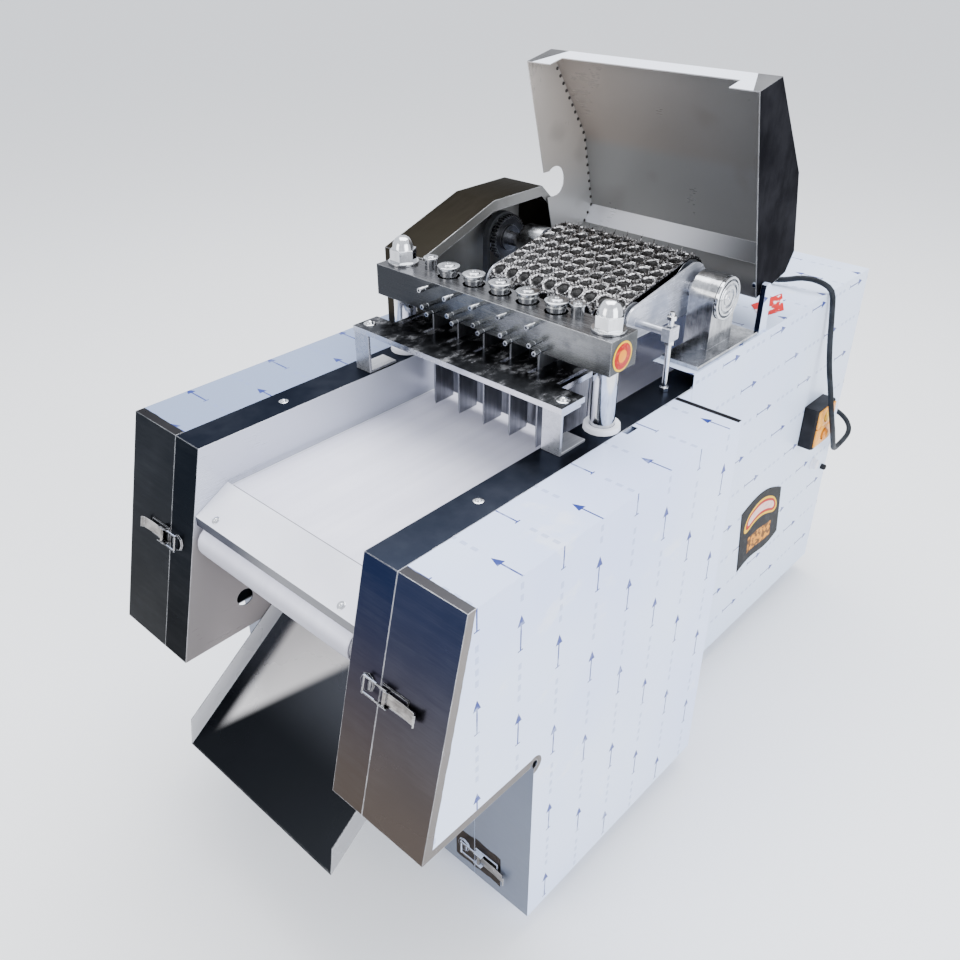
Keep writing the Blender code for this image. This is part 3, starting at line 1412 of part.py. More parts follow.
def cord_plug():
    """Round-pin plug lying on the deck beside the coil, its tapered tail towards the coil."""
    outer_turn = COIL_MEAN_RADIUS + (COIL_TURNS_WIDE - 1) * CORD_RADIUS
    ring_radius = outer_turn + CORD_RADIUS + GAP
    tail_radius = 0.0065
    tail = back(COIL_BACK) + math.sqrt(ring_radius ** 2 - (outer_turn - tail_radius) ** 2)
    x, z = COIL_X - outer_turn, DECK_Z + GAP + 0.019
    end = tail + PLUG_LENGTH
    profile = [
        (tail, tail_radius), (tail + 0.018, 0.0085), (tail + 0.024, 0.012), (tail + 0.032, 0.019),
        (end - 0.004, 0.019), (end, 0.0185),
    ]
    body = turned("Y", x, z, profile, 12)
    pins = [rod("Y", x + side * 0.0095, z, 0.0024, end - 0.002, end + 0.019, 6) for side in (-1, 1)]
    return combine(body, joins=pins)


def cord_gland():
    """Gland on the rear panel: hexagon, collar and tapered strain relief."""
    y = back(REAR_BACK) + GAP
    hexagon = rod("Y", GLAND_X, up(GLAND_UP), 0.013, y, y + 0.006, 6)
    taper = turned(
        "Y", GLAND_X, up(GLAND_UP), [(y + 0.004, 0.0105), (y + 0.012, 0.0105), (y + 0.0227, 0.0070)], 12,
    )
    return combine(hexagon, joins=(taper,))


def build():
    sub_part("base_casing", base_casing(), FILM)
    both_sides("channel", channel, DARK_STEEL)
    sub_part("rear_cabinet", rear_cabinet(), FILM)
    for side, x in (("right", FOOT_X), ("left", -FOOT_X)):
        for end, y in (("front", back(FOOT_FRONT_BACK)), ("rear", back(FOOT_REAR_BACK))):
            sub_part(f"foot_{end}_{side}", foot(x, y), RUBBER, smooth=True)

    sub_part("conveyor_belt", conveyor_belt(), BELT, smooth=True)
    sub_part("bed_plate", bed_plate(), WHITE_PLASTIC)
    front_u, front_v, _ = belt_circles()[0]
    drive_u, drive_v, _ = belt_circles()[1]
    sub_part("belt_front_roller", belt_roller(0), STEEL, (0, front_u, front_v), smooth=True)
    sub_part("belt_drive_roller", belt_roller(1), STEEL, (0, drive_u, drive_v), smooth=True)
    sub_part("nose_plate", nose_plate(), WHITE_PLASTIC)
    sub_part("discharge_chute", discharge_chute(), STEEL)

    sub_part("crosshead", crosshead(), DARK_STEEL)
    both_sides("guide_post", post, CHROME, (POST_X, back(POST_BACK), TOP_Z), smooth=True)
    for number, x in enumerate(blade_places(BLADE_COUNT), start=1):
        sub_part(f"long_blade_{number}", long_blade(x), BLADE_STEEL)
    sub_part("cross_knife", cross_knife(), BLADE_STEEL)
    sub_part("stripper_plate", stripper_plate(), DARK_STEEL)
    both_sides("stripper_bracket", stripper_bracket, STEEL)
    both_sides("post_bush", post_bush, WHITE_PLASTIC, smooth=True)

    sub_part("yoke", yoke(), CAST)
    both_sides("connecting_rod", connecting_rod, CAST, (ROD_X, back(POST_BACK), wrist_z()))
    sub_part("crankshaft", crankshaft(), CAST, (0, back(POST_BACK), crank_geometry()[0]))
    sub_part("crank_stand", crank_stand(), CAST)
    sub_part("motor", motor(), MOTOR_PAINT)
    sub_part("motor_pulley", motor_pulley(), CAST, (0, back(MOTOR_BACK), motor_z()))
    sub_part("drive_belt", drive_belt(), RUBBER)

    press_axis = (0, back(PRESS_BACK), up(PRESS_UP))
    sub_part("press_mat", press_mat(), MAT_STEEL, press_axis)
    sub_part("press_frame", press_frame(), STEEL, press_axis)
    sub_part(
        "press_front_roller", press_front_roller(), STEEL,
        (0, back(PRESS_NOSE_BACK), up(PRESS_NOSE_UP)), smooth=True,
    )
    sub_part("press_shaft", press_shaft(), STEEL, press_axis)
    sub_part("jackshaft", jackshaft(), STEEL, (0, back(PRESS_BACK), up(JACK_UP)))
    sub_part("roller_chain", roller_chain(), CAST)
    both_sides("bearing_block", bearing_block, CHROME)
    sub_part("adjusting_screw", adjusting_screw(), CHROME)
    sub_part("chain_guard", chain_guard(), DARK_STEEL)
    sub_part("hood", hood(), STEEL, (0, back(HINGE_BACK), up(HINGE_UP)))

    cover_axis = (COVER_HINGE_X, back(COVER_HINGE_BACK), BASE_Z)
    both_sides("side_cover", side_cover, FILM, cover_axis)
    for which, name in enumerate(("upper_latch", "lower_latch")):
        both_sides(name, lambda: latch_lever(which), CHROME, tuple(latch_pivot(which)))

    sub_part("switch_box", switch_box(), BLACK_PLASTIC)
    for index, (name, material) in enumerate((("start_button", YELLOW), ("stop_button", AMBER))):
        sub_part(name, button(index), material)

    power_cord()
    sub_part("cord_coil", cord_coil(), GREY_CORD, smooth=True)
    sub_part("cord_plug", cord_plug(), BLACK_PLASTIC)
    sub_part("cord_gland", cord_gland(), WHITE_PLASTIC)


build()
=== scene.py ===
# %% [markdown]
# # A meat cutting machine, dressed for its picture
# The packed model gives every part its size, place and body. This file never moves those parts.
# It adds the finish of each surface, the pieces that are too fine for the solid model, the power
# cord at its real length, the camera and the light. It reads from top to bottom like a notebook:
# a text cell says what a step is for, and the code cell after it does the step and prints what it made.

# %% Load the frame
import json
import math

import bmesh
import bpy
import numpy as np
from mathutils import Matrix, Vector


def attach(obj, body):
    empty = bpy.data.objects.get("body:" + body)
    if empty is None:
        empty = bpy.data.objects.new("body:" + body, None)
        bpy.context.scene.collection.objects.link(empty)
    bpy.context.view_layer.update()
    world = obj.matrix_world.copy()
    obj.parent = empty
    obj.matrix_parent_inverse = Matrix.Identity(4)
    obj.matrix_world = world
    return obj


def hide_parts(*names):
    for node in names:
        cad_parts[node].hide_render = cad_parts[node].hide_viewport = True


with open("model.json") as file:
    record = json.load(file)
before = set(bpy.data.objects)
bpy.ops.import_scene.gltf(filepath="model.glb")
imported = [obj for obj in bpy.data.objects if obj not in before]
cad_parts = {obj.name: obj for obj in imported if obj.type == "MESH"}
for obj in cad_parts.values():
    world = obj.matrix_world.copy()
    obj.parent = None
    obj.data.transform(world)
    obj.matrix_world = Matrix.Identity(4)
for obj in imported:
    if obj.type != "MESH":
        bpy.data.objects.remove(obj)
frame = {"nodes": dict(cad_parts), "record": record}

for left_over in ("Cube", "Light", "Camera"):
    if left_over in bpy.data.objects:
        bpy.data.objects.remove(bpy.data.objects[left_over])
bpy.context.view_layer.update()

# %% [markdown]
# ## The machine's own measure
# The solid model is placed by two lengths: how far something lies behind the casing's top front edge,
# and how high it stands above the side covers' top. The same helper is used here, so that a number
# in this file means the same as in the solid model.

# %% Places on the machine
FRONT_Y, TOP_Z = -0.553, 0.680
CORE_HALF = 0.217
DECK_RISE = 0.020
REAR_BACK = 1.203


def at(x, back, up):
    """World point from a place across the machine, behind its front edge and above its covers."""
    return (x, FRONT_Y + back, TOP_Z + up)


def place_in_scene(name, data):
    """A new object for a mesh, curve, light or camera."""
    made = bpy.data.objects.new(name, data)
    bpy.context.scene.collection.objects.link(made)
    return made


print("front edge at y", FRONT_Y, "and covers' top at z", TOP_Z)

# %% [markdown]
# ## The camera
# A picture shows a shape as it is only from the right place. The camera's place, turn and lens were
# solved from the casing's edges in the reference picture, so here they are plain numbers. The small
# shift moves the frame over the film without turning the camera, which keeps the uprights upright.

# %% Camera
camera_data = bpy.data.cameras.new("camera")
camera_data.lens = 34.92
camera_data.sensor_width = 36.0
camera_data.shift_x, camera_data.shift_y = 0.0098, -0.0184
camera = place_in_scene("camera", camera_data)
camera.matrix_world = Matrix((
    (0.73137, -0.35163, 0.58434, 0.81406),
    (0.68197, 0.38273, -0.62324, -1.07505),
    (-0.00449, 0.85432, 0.51972, 1.29605),
    (0.0, 0.0, 0.0, 1.0),
))
bpy.context.scene.camera = camera
print("camera looks", tuple(round(-value, 3) for value in camera.matrix_world.col[2][:3]))

# %% [markdown]
# ## Floor and light
# Steel shows what is round it, so a studio for metal is built from large soft panels with darker
# gaps between them. A wide panel overhead lights the film on the tops, a cooler one on the right
# lights the side cover, a small warm one in front opens the shadows, and a pale world fills the rest.

# %% Floor and lights
FLOOR_HALF = 60.0
MIDDLE = (0.0, 0.0, 0.55)


def soft_panel(name, place, size, power, colour):
    """A square area light, turned to face the machine's middle."""
    data = bpy.data.lights.new(name, "AREA")
    data.size, data.energy, data.color = size, power, colour
    lamp = place_in_scene(name, data)
    lamp.location = place
    lamp.rotation_euler = (Vector(MIDDLE) - Vector(place)).to_track_quat("-Z", "Y").to_euler()


floor_mesh = bpy.data.meshes.new("floor")
corners = [(FLOOR_HALF * i, FLOOR_HALF * j, 0.0) for i, j in ((-1, -1), (1, -1), (1, 1), (-1, 1))]
floor_mesh.from_pydata(corners, [], [(0, 1, 2, 3)])
floor_paint = bpy.data.materials.new("floor_paint")
floor_paint.use_nodes = True
painted = floor_paint.node_tree.nodes["Principled BSDF"].inputs
painted["Base Color"].default_value = (0.93, 0.935, 0.94, 1.0)
painted["Roughness"].default_value = 0.85
floor_mesh.materials.append(floor_paint)
place_in_scene("floor", floor_mesh)

soft_panel("overhead_panel", (-0.4, 0.6, 3.2), 2.6, 150, (0.97, 0.98, 1.0))
soft_panel("right_panel", (3.0, -0.4, 1.5), 2.2, 92, (0.93, 0.96, 1.0))
soft_panel("front_panel", (-0.9, -3.2, 1.7), 1.6, 42, (1.0, 0.98, 0.96))
world = bpy.data.worlds.new("studio")
world.use_nodes = True
world.node_tree.nodes["Background"].inputs["Color"].default_value = (0.86, 0.89, 0.95, 1.0)
world.node_tree.nodes["Background"].inputs["Strength"].default_value = 1.55
bpy.context.scene.world = world

# %% [markdown]
# ## Building materials from nodes
# Each finish below is a small graph of nodes. A node's output is wrapped as a Value, so that a formula
# can be written as one: a sign between two values adds the math node of that sign. Effects that
# several finishes share are node groups, which are built once and placed with their own values.

# %% Values


class Value:
    """A node's output that takes part in formulas; | gives the greater of two values."""

    def __init__(self, graph, socket):
        self.graph, self.socket = graph, socket

    def __add__(self, other):
        return self.graph.math("ADD", self, other)

    def __sub__(self, other):
        return self.graph.math("SUBTRACT", self, other)

    def __rsub__(self, other):
        return self.graph.math("SUBTRACT", other, self)

    def __mul__(self, other):
        return self.graph.math("MULTIPLY", self, other)

    def __truediv__(self, other):
        return self.graph.math("DIVIDE", self, other)

    def __pow__(self, other):
        return self.graph.math("POWER", self, other)

    def __lt__(self, other):
        return self.graph.math("LESS_THAN", self, other)

    def __gt__(self, other):
        return self.graph.math("GREATER_THAN", self, other)

    def __or__(self, other):
        return self.graph.math("MAXIMUM", self, other)

    def __abs__(self):
        return self.graph.math("ABSOLUTE", self)


print("signs of a value: + - * / ** < > | and abs()")

# %% [markdown]
# A graph is a node tree with short helpers. One adds a node and fills its sockets, one lays colours
# over each other through masks, and one carries a value from one range to another.

# %% Graphs


class Graph:
    """A node tree with short ways to add nodes to it."""

    def __init__(self, tree):
        self.tree = tree

    def node(self, kind, inputs=None, **settings):
        """Adds a node, sets its properties, and fills its sockets with values or links."""
        made = self.tree.nodes.new(kind)
        for key, value in settings.items():
            setattr(made, key, value)
        for key, value in (inputs or {}).items():
            self.fill(made.inputs[key], value)
        return made

    def value(self, kind, inputs=None, output=0, **settings):
        """Adds a node and returns one of its outputs."""
        return Value(self, self.node(kind, inputs, **settings).outputs[output])

    def fill(self, socket, value):
        """Links an output to the socket, or stores a plain value in it."""
        if isinstance(value, Value):
            self.tree.links.new(value.socket, socket)
        elif isinstance(value, tuple) and len(value) == 3 and socket.type == "RGBA":
            socket.default_value = (*value, 1.0)
        else:
            socket.default_value = value

    def math(self, operation, first, second=0.0, third=0.0):
        return self.value("ShaderNodeMath", {0: first, 1: second, 2: third}, operation=operation)

    def length(self, first, second):
        """Distance from two legs: the square root of the sum of their squares."""
        return self.math("SQRT", first ** 2.0 + second ** 2.0)

    def centred(self, value):
        """Where a value stands in its own unit step, from -0.5 to 0.5."""
        return self.math("FRACT", value) - 0.5

    def mix(self, share, first, second):
        """Colour that is the first where the share is 0 and the second where it is 1."""
        return self.value("ShaderNodeMix", {0: share, 6: first, 7: second}, 2, data_type="RGBA")

    def layers(self, colour, *covers):
        """Covers laid over a colour one after another; each is a mask and the colour it brings."""
        for mask, cover in covers:
            colour = self.mix(mask, colour, cover)
        return colour

    def ramp(self, value, low, high, to_low=0.0, to_high=1.0):
        """Value carried from one range to another and kept inside it, with a soft start and end."""
        ends = {"Value": value, "From Min": low, "From Max": high, "To Min": to_low, "To Max": to_high}
        return self.value("ShaderNodeMapRange", ends, interpolation_type="SMOOTHSTEP")

    def spread(self, noise, to_low=0.0, to_high=1.0):
        """Noise carried to a range; noise itself stays mostly between 0.3 and 0.7."""
        return self.ramp(noise, 0.3, 0.7, to_low, to_high)

    def noise(self, vector, scale, detail=2.0, roughness=0.5):
        inputs = {"Vector": vector, "Scale": scale, "Detail": detail, "Roughness": roughness}
        return self.value("ShaderNodeTexNoise", inputs)

    def stretch(self, vector, amounts):
        """Coordinates with each axis multiplied, so that a pattern is drawn out along one of them."""
        return self.value("ShaderNodeVectorMath", {0: vector, 1: amounts}, operation="MULTIPLY")

    def parts(self, vector):
        return [Value(self, socket) for socket in self.node("ShaderNodeSeparateXYZ", {0: vector}).outputs]

    def join(self, x, y):
        return self.value("ShaderNodeCombineXYZ", {0: x, 1: y})

    def group(self, tree, **inputs):
        """Places a node group, fills its sockets, and returns its outputs by name."""
        filled = {key.replace("_", " ").title(): value for key, value in inputs.items()}
        made = self.node("ShaderNodeGroup", filled, node_tree=tree)
        return {socket.name: Value(self, socket) for socket in made.outputs}


print("graph helpers:", [name for name in vars(Graph) if not name.startswith("_")])

# %% [markdown]
# A node group is a graph of its own with named sockets. The sockets are made first, and two end nodes
# then carry the values in and out.

# %% Node groups


def new_group(name, inputs, *outputs):
    """An empty node group with named sockets; returns its graph, its inputs' values and its outputs."""
    tree = bpy.data.node_groups.new(name, "ShaderNodeTree")
    for socket, start in inputs.items():
        kind = "NodeSocketVector" if isinstance(start, tuple) else "NodeSocketFloat"
        tree.interface.new_socket(socket, in_out="INPUT", socket_type=kind).default_value = start
    for socket in outputs:
        tree.interface.new_socket(socket, in_out="OUTPUT", socket_type="NodeSocketFloat")
    graph = Graph(tree)
    entry = graph.node("NodeGroupInput").outputs
    given = {key: Value(graph, entry[key]) for key in inputs}
    return graph, given, graph.node("NodeGroupOutput").inputs


print("a new group gets its sockets from a list of names and starting values")

# %% [markdown]
# ## Brushed grain
# Stainless sheet is ground with a belt, which leaves fine scratches that all run one way. Noise that
# is squeezed across the scratches and drawn out along them gives that look. The same group serves a
# sheet that is ground along X, Y or Z, because the caller says how much to stretch each axis.
# It puts out a soft mask for colour and roughness, and a height for the bump.

# %% Brushed grain group
graph, given, out = new_group(
    "brushed_grain", {"Stretch": (1.0, 1.0, 1.0), "Blotch Scale": 6.0}, "Streak", "Blotch", "Height",
)
place = graph.value("ShaderNodeTexCoord", output="Object")
along = graph.stretch(place, given["Stretch"])
fine, coarse = graph.noise(along, 900.0, 3.0, 0.65), graph.noise(along, 160.0)
graph.fill(out["Streak"], graph.math("MULTIPLY_ADD", fine, 0.6, coarse * 0.4))
graph.fill(out["Height"], fine)
graph.fill(out["Blotch"], graph.noise(place, given["Blotch Scale"], 4.0, 0.6))
GRAIN = graph.tree
print("node group:", GRAIN.name)

# %% [markdown]
# ## Worn and highlit edges
# Sheet edges are bent or cut. Handling keeps them bright and their bends catch the light, so they are
# brightened for wear and as a painted highlight. The mask compares the surface's own direction with one that
# is averaged over a small radius: they differ only near an edge. Noise breaks the line up, since real wear is
# uneven.

# %% Edge wear and highlight group
graph, given, out = new_group("edge_wear_and_highlight", {"Width": 0.0016}, "Edge")
rounded = graph.value("ShaderNodeBevel", {"Radius": given["Width"]}, samples=4)
straight = graph.value("ShaderNodeNewGeometry", output="Normal")
alike = graph.value("ShaderNodeVectorMath", {0: rounded, 1: straight}, "Value", operation="DOT_PRODUCT")
place = graph.value("ShaderNodeTexCoord", output="Object")
broken = graph.ramp(graph.noise(place, 45.0, 3.0), 0.35, 0.60, 0.45, 1.0)
graph.fill(out["Edge"], graph.ramp(alike, 0.995, 0.93) * broken)
EDGE_WEAR_AND_HIGHLIGHT_GROUP = graph.tree
print("node group:", EDGE_WEAR_AND_HIGHLIGHT_GROUP.name)

# %% [markdown]
# ## Printed marks on the protective film
# New stainless sheet comes with a plastic film that carries rows of arrows, which show the rolling
# direction. An arrow is a shape that can be written as a few comparisons: a thin shaft, and a head
# that gets narrower towards its tip. The group repeats one arrow over a grid, moves every other
# column by half a pitch as the printer does, and fades parts of it as worn ink fades.

# %% Film print group
graph, given, out = new_group(
    "film_print",
    {"Across": 0.0, "Along": 0.0, "Pitch Across": 0.072, "Pitch Along": 0.150, "Length": 0.052},
    "Arrow", "Dash",
)
columns = given["Across"] / given["Pitch Across"]
stagger = graph.math("PINGPONG", graph.math("FLOOR", columns), 1.0) * 0.5
rows = given["Along"] / given["Pitch Along"] + stagger
u = abs(graph.centred(columns) * given["Pitch Across"])
v = graph.centred(rows) * given["Pitch Along"]
half, head = given["Length"] * 0.5, given["Length"] * 0.30
to_tip = half - v
in_head = (to_tip > 0.0) * (to_tip < head) * (u < to_tip * 0.42)
in_shaft = (v < half - head) * (v > half * -1.0) * (u < 0.0012)
in_foot = (abs(v + half) < 0.0009) * (u < 0.0045)
ink = graph.ramp(graph.noise(graph.join(given["Across"], given["Along"]), 45.0, 3.0), 0.30, 0.50, 0.55, 1.0)
graph.fill(out["Arrow"], (in_head | in_shaft | in_foot) * ink)
dash_v = graph.centred(rows + 0.5)
dash_u = graph.centred(dash_v * 9.0)
graph.fill(out["Dash"], (abs(dash_u) < 0.28) * (u < 0.0028) * (abs(dash_v) < 0.22))
FILM_PRINT = graph.tree
print("node group:", FILM_PRINT.name)

# %% [markdown]
# ## One ending for every material
# A material's graph ends the same way each time: colour, roughness, metal and a bump go to the
# Principled shader. Ground metal gets whiter where it is seen edge-on, and fine scratches make it do
# so much less, which is what the calmer tint stands for.

# %% Material ending
# Tone that edges take for wear and as a painted highlight.
WORN_AND_HIGHLIT_EDGE_TONE = (0.70, 0.71, 0.74)
CALM = {"Specular Tint": (0.45, 0.45, 0.45)}


class Finish(Graph):
    """The graph of a new material, with the point's own place and direction."""

    def __init__(self, name):
        self.material = bpy.data.materials.new(name)
        self.material.use_nodes = True
        super().__init__(self.material.node_tree)
        self.shader = self.tree.nodes["Principled BSDF"].inputs
        coordinates = self.node("ShaderNodeTexCoord").outputs
        self.place, self.normal = Value(self, coordinates["Object"]), Value(self, coordinates["Normal"])

    def worn_and_highlit(self, colour, share, **size):
        """The colour with edges brightened for wear and as a painted highlight."""
        return self.mix(self.group(EDGE_WEAR_AND_HIGHLIGHT_GROUP, **size)["Edge"] * share, colour, WORN_AND_HIGHLIT_EDGE_TONE)

    def done(self, colour, roughness, relief, metal=None, others=None):
        """Fills the shader; the relief is a height, its strength and its distance."""
        filled = {"Base Color": colour, "Roughness": roughness, **(others or {})}
        if metal is not None:
            filled["Metallic"] = metal
        for key, value in filled.items():
            self.fill(self.shader[key], value)
        height, strength, distance = relief
        inputs = {"Height": height, "Strength": strength, "Distance": distance}
        self.fill(self.shader["Normal"], self.value("ShaderNodeBump", inputs))
        return self.material

    def ground(self, colour, roughness, grain, metal=1.0, strength=0.05):
        """The ending of a ground sheet: fine scratches, and calm where it is seen edge-on."""
        return self.done(colour, roughness, (grain["Height"], strength, 0.0003), metal, CALM)


print("worn edges are mixed towards", WORN_AND_HIGHLIT_EDGE_TONE)

# %% [markdown]
# ## The metals
# One recipe makes all the ground parts. They differ in tone, because bare metal shows the room it
# stands in, and in the direction of the grain.

# %% Metals
ALONG_X, ALONG_Y, ALONG_Z = (0.03, 1.0, 1.0), (1.0, 0.03, 1.0), (1.0, 1.0, 0.03)
ROUND_Z = (1.0, 1.0, 0.10)


def brushed(name, dark, light, roughness, stretch, blotch=6.0, strength=0.10, metal=1.0):
    """Ground metal: two tones mixed by streaks and slow blotches, with a faint bump along the grain."""
    graph = Finish(name)
    grain = graph.group(GRAIN, stretch=stretch, blotch_scale=blotch)
    tone = grain["Streak"] * 0.45 + grain["Blotch"] * 0.55
    colour = graph.worn_and_highlit(graph.mix(graph.ramp(tone, 0.35, 0.65), dark, light), 0.7)
    rough = graph.spread(tone, roughness - 0.06, roughness + 0.08)
    return graph.done(colour, rough, (grain["Height"], strength, 0.0004), metal)


BRUSHED = brushed("brushed_steel", (0.42, 0.43, 0.46), (0.66, 0.67, 0.70), 0.30, ALONG_Y, metal=0.8)
PRESS_STEEL = brushed("press_steel", (0.36, 0.38, 0.44), (0.72, 0.74, 0.82), 0.24, ALONG_Y, 16.0, metal=0.55)
BLADE_STEEL = brushed("blade_steel", (0.14, 0.145, 0.16), (0.34, 0.35, 0.38), 0.34, ALONG_Z, 7.0)
POLISHED = brushed("polished_steel", (0.50, 0.51, 0.53), (0.80, 0.81, 0.83), 0.13, ROUND_Z, 14.0, 0.04)
BOLT_STEEL = brushed("bolt_steel", (0.20, 0.205, 0.215), (0.58, 0.59, 0.61), 0.17, ROUND_Z, 40.0, 0.05)
# Latches: the dark brownish tone is a painted reflection.
LATCH_STEEL = brushed(
    "latch_steel", (0.09, 0.082, 0.076), (0.36, 0.34, 0.325), 0.22, (0.10, 1.0, 1.0), 40.0, 0.05,
)
GEAR_STEEL = brushed("gear_steel", (0.06, 0.06, 0.065), (0.16, 0.16, 0.17), 0.34, ALONG_X, 20.0)
print("materials so far:", len(bpy.data.materials))

# %% [markdown]
# The castings inside are dark and pitted from the sand. The knife head is a polished bar with a painted
# reflection of the dark room on its front, one lighter painted reflection right of its middle, and painted
# light on its top.

# %% Castings and knife head


def cast_iron():
    """Sand-cast iron: a dark pitted surface."""
    graph = Finish("cast_iron")
    grit = graph.noise(graph.place, 420.0, 4.0, 0.7)
    colour = graph.mix(graph.noise(graph.place, 18.0, 3.0), (0.055, 0.058, 0.064), (0.13, 0.135, 0.145))
    return graph.done(colour, graph.spread(grit, 0.45, 0.65), (grit, 0.35, 0.0006), 0.7)


def head_steel():
    """Polished dark bar: a painted reflection of the room on its front, darker at both ends than right of its
    middle, and painted light on its top.
    """
    graph = Finish("knife_head_steel")
    x, nz = graph.parts(graph.place)[0], graph.parts(graph.normal)[2]
    grain = graph.group(GRAIN, stretch=ALONG_X, blotch_scale=22.0)
    tone = graph.layers(
        (0.036, 0.038, 0.043),
        # Painted reflection: lighter right of the middle.
        (graph.ramp(x, -0.15, 0.05) * graph.ramp(x, 0.30, 0.12), (0.25, 0.255, 0.255)),
        (graph.ramp(grain["Blotch"], 0.45, 0.65, 0.0, 0.5), (0.035, 0.038, 0.043)),
        # Painted light on the top faces.
        (graph.ramp(nz, 0.6, 0.8, 0.0, 0.8), (0.26, 0.26, 0.27)),
    )
    return graph.ground(graph.worn_and_highlit(tone, 0.45), graph.spread(grain["Streak"], 0.20, 0.32), grain)


CAST_IRON, HEAD_STEEL = cast_iron(), head_steel()
print("castings and head:", CAST_IRON.name, HEAD_STEEL.name)

# %% [markdown]
# ## Bare sheet steel with painted reflections of the room
# A bare sheet has no colour of its own: it mirrors what stands before it. In the picture the front
# faces mirror a dark blue doorway above and a brown floor below, the tops mirror a dark ceiling and
# the inner walls mirror the white belt. These reflections are painted as colour. One recipe makes all of
# these sheets. It takes a painted reflection tone for each direction that a face can look, fades the front
# faces from dark above to lighter below, and paints shade on the left half.

# %% Bare sheets
# Painted reflection tones of bare front faces: a dark blue doorway above, a brown floor below.
DOORWAY_REFLECTION, FLOOR_REFLECTION = (0.009, 0.014, 0.038), (0.058, 0.046, 0.039)
FRONT_FADE = 0.32


def bare_colour(graph, top, side, side_low):
    """Painted reflection tones of a bare sheet from the direction it faces, with painted fades down its front
    and sides and painted shade on its left half.
    """
    x, _, z = graph.parts(graph.place)
    nx, _, nz = graph.parts(graph.normal)
    faces_up, faces_side = (graph.ramp(abs(part), 0.55, 0.80) for part in (nz, nx))
    sides = graph.mix(graph.ramp(z, TOP_Z - 0.08, TOP_Z - 0.15), side, side_low)
    grain = graph.group(GRAIN, stretch=(0.05, 0.05, 1.0), blotch_scale=3.5)
    tone = grain["Streak"] * 0.35 + grain["Blotch"] * 0.65
    colour = graph.layers(
        DOORWAY_REFLECTION,
        (graph.ramp(z, TOP_Z, TOP_Z - FRONT_FADE), FLOOR_REFLECTION),
        # Painted shade on the left half.
        (graph.ramp(x, 0.05, -0.05, 0.0, 0.90), (0.011, 0.013, 0.015)),
        (faces_up, top), (faces_side, sides),
        (graph.ramp(tone, 0.42, 0.66, 0.0, 0.05), (0.30, 0.31, 0.34)),
    )
    return graph.worn_and_highlit(colour, 0.75), grain, tone, faces_side


def channel_sheet():
    """The channels beside the belt: their inner walls carry a painted reflection of it and are duller."""
    graph = Finish("channel_steel")
    colour, grain, tone, faces_side = bare_colour(
        graph, (0.019, 0.023, 0.035), (0.54, 0.56, 0.64), (0.36, 0.33, 0.33),
    )
    return graph.ground(colour, graph.spread(tone, 0.25, 0.38), grain, 1.0 - faces_side * 0.6)


CHANNEL_STEEL = channel_sheet()
print("bare sheet:", CHANNEL_STEEL.name)

# %% [markdown]
# Three more sheets mirror something of their own. The chute's floor mirrors a corner of the belt, the
# guard's inner faces mirror the room behind it, and the stripper plate's top mirrors the knife head.
# The room isn't in the scene, so its reflections are painted as tones with soft borders, and so are those of
# the belt and the head. The chute's walls also carry painted light and shade, and the guard's outside a
# painted dark reflection.

# %% Chute, guard and stripper plate


def chute_sheet():
    """The chute: a painted reflection of the bright belt in one corner at the floor's top, a painted dark
    reflection of the room below, and painted light on the left wall.
    """
    graph = Finish("chute_steel")
    x, y, _ = graph.parts(graph.place)
    faces_side = graph.ramp(abs(graph.parts(graph.normal)[0]), 0.55, 0.80)
    grain = graph.group(GRAIN, stretch=(0.05, 1.0, 0.05), blotch_scale=6.0)
    # Painted reflection of the belt in the floor's top corner.
    above = y - (FRONT_Y - 0.003) - (x + 0.079) * 1.078
    corner = graph.ramp(above, -0.008, 0.020) * graph.ramp(x, -0.142, -0.118)
    # Painted light on the left wall and painted shade on the right wall.
    wall = graph.mix(graph.ramp(x, -0.05, 0.05), (0.80, 0.80, 0.83), (0.30, 0.30, 0.31))
    # Painted dark reflection of the room on the floor, darkest towards its lower front end.
    tone = graph.layers(
        (0.060, 0.064, 0.076), (graph.ramp(y - FRONT_Y, 0.095, -0.03), (0.008, 0.009, 0.011)),
        (corner, (0.72, 0.70, 0.69)), (faces_side, wall),
    )
    metal = 1.0 - (faces_side | corner) * 0.75
    return graph.ground(graph.worn_and_highlit(tone, 0.7), graph.spread(grain["Blotch"], 0.24, 0.34), grain, metal, 0.04)


def guard_sheet():
    """The chain guard: a painted dark reflection outside, and inner faces with a painted reflection that gets
    brighter towards the rear.
    """
    graph = Finish("guard_steel")
    behind = graph.parts(graph.place)[1] - FRONT_Y
    inside = graph.parts(graph.normal)[0] > 0.7
    grain = graph.group(GRAIN, stretch=(1.0, 0.05, 0.05), blotch_scale=14.0)
    # Painted reflection on the inner faces, brighter towards the rear and in patches.
    inner = graph.layers(
        (0.13, 0.128, 0.120), (graph.ramp(behind, 0.56, 0.74), (0.42, 0.42, 0.41)),
        (graph.ramp(grain["Blotch"], 0.50, 0.68, 0.0, 0.5), (0.40, 0.40, 0.40)),
    )
    # Painted dark reflection outside, and a wider painted highlight with the wear along the edges.
    colour = graph.worn_and_highlit(graph.mix(inside, (0.026, 0.023, 0.018), inner), 0.8, width=0.0022)
    return graph.ground(colour, graph.spread(grain["Streak"], 0.28, 0.42), grain, 1.0 - inside * 0.5)


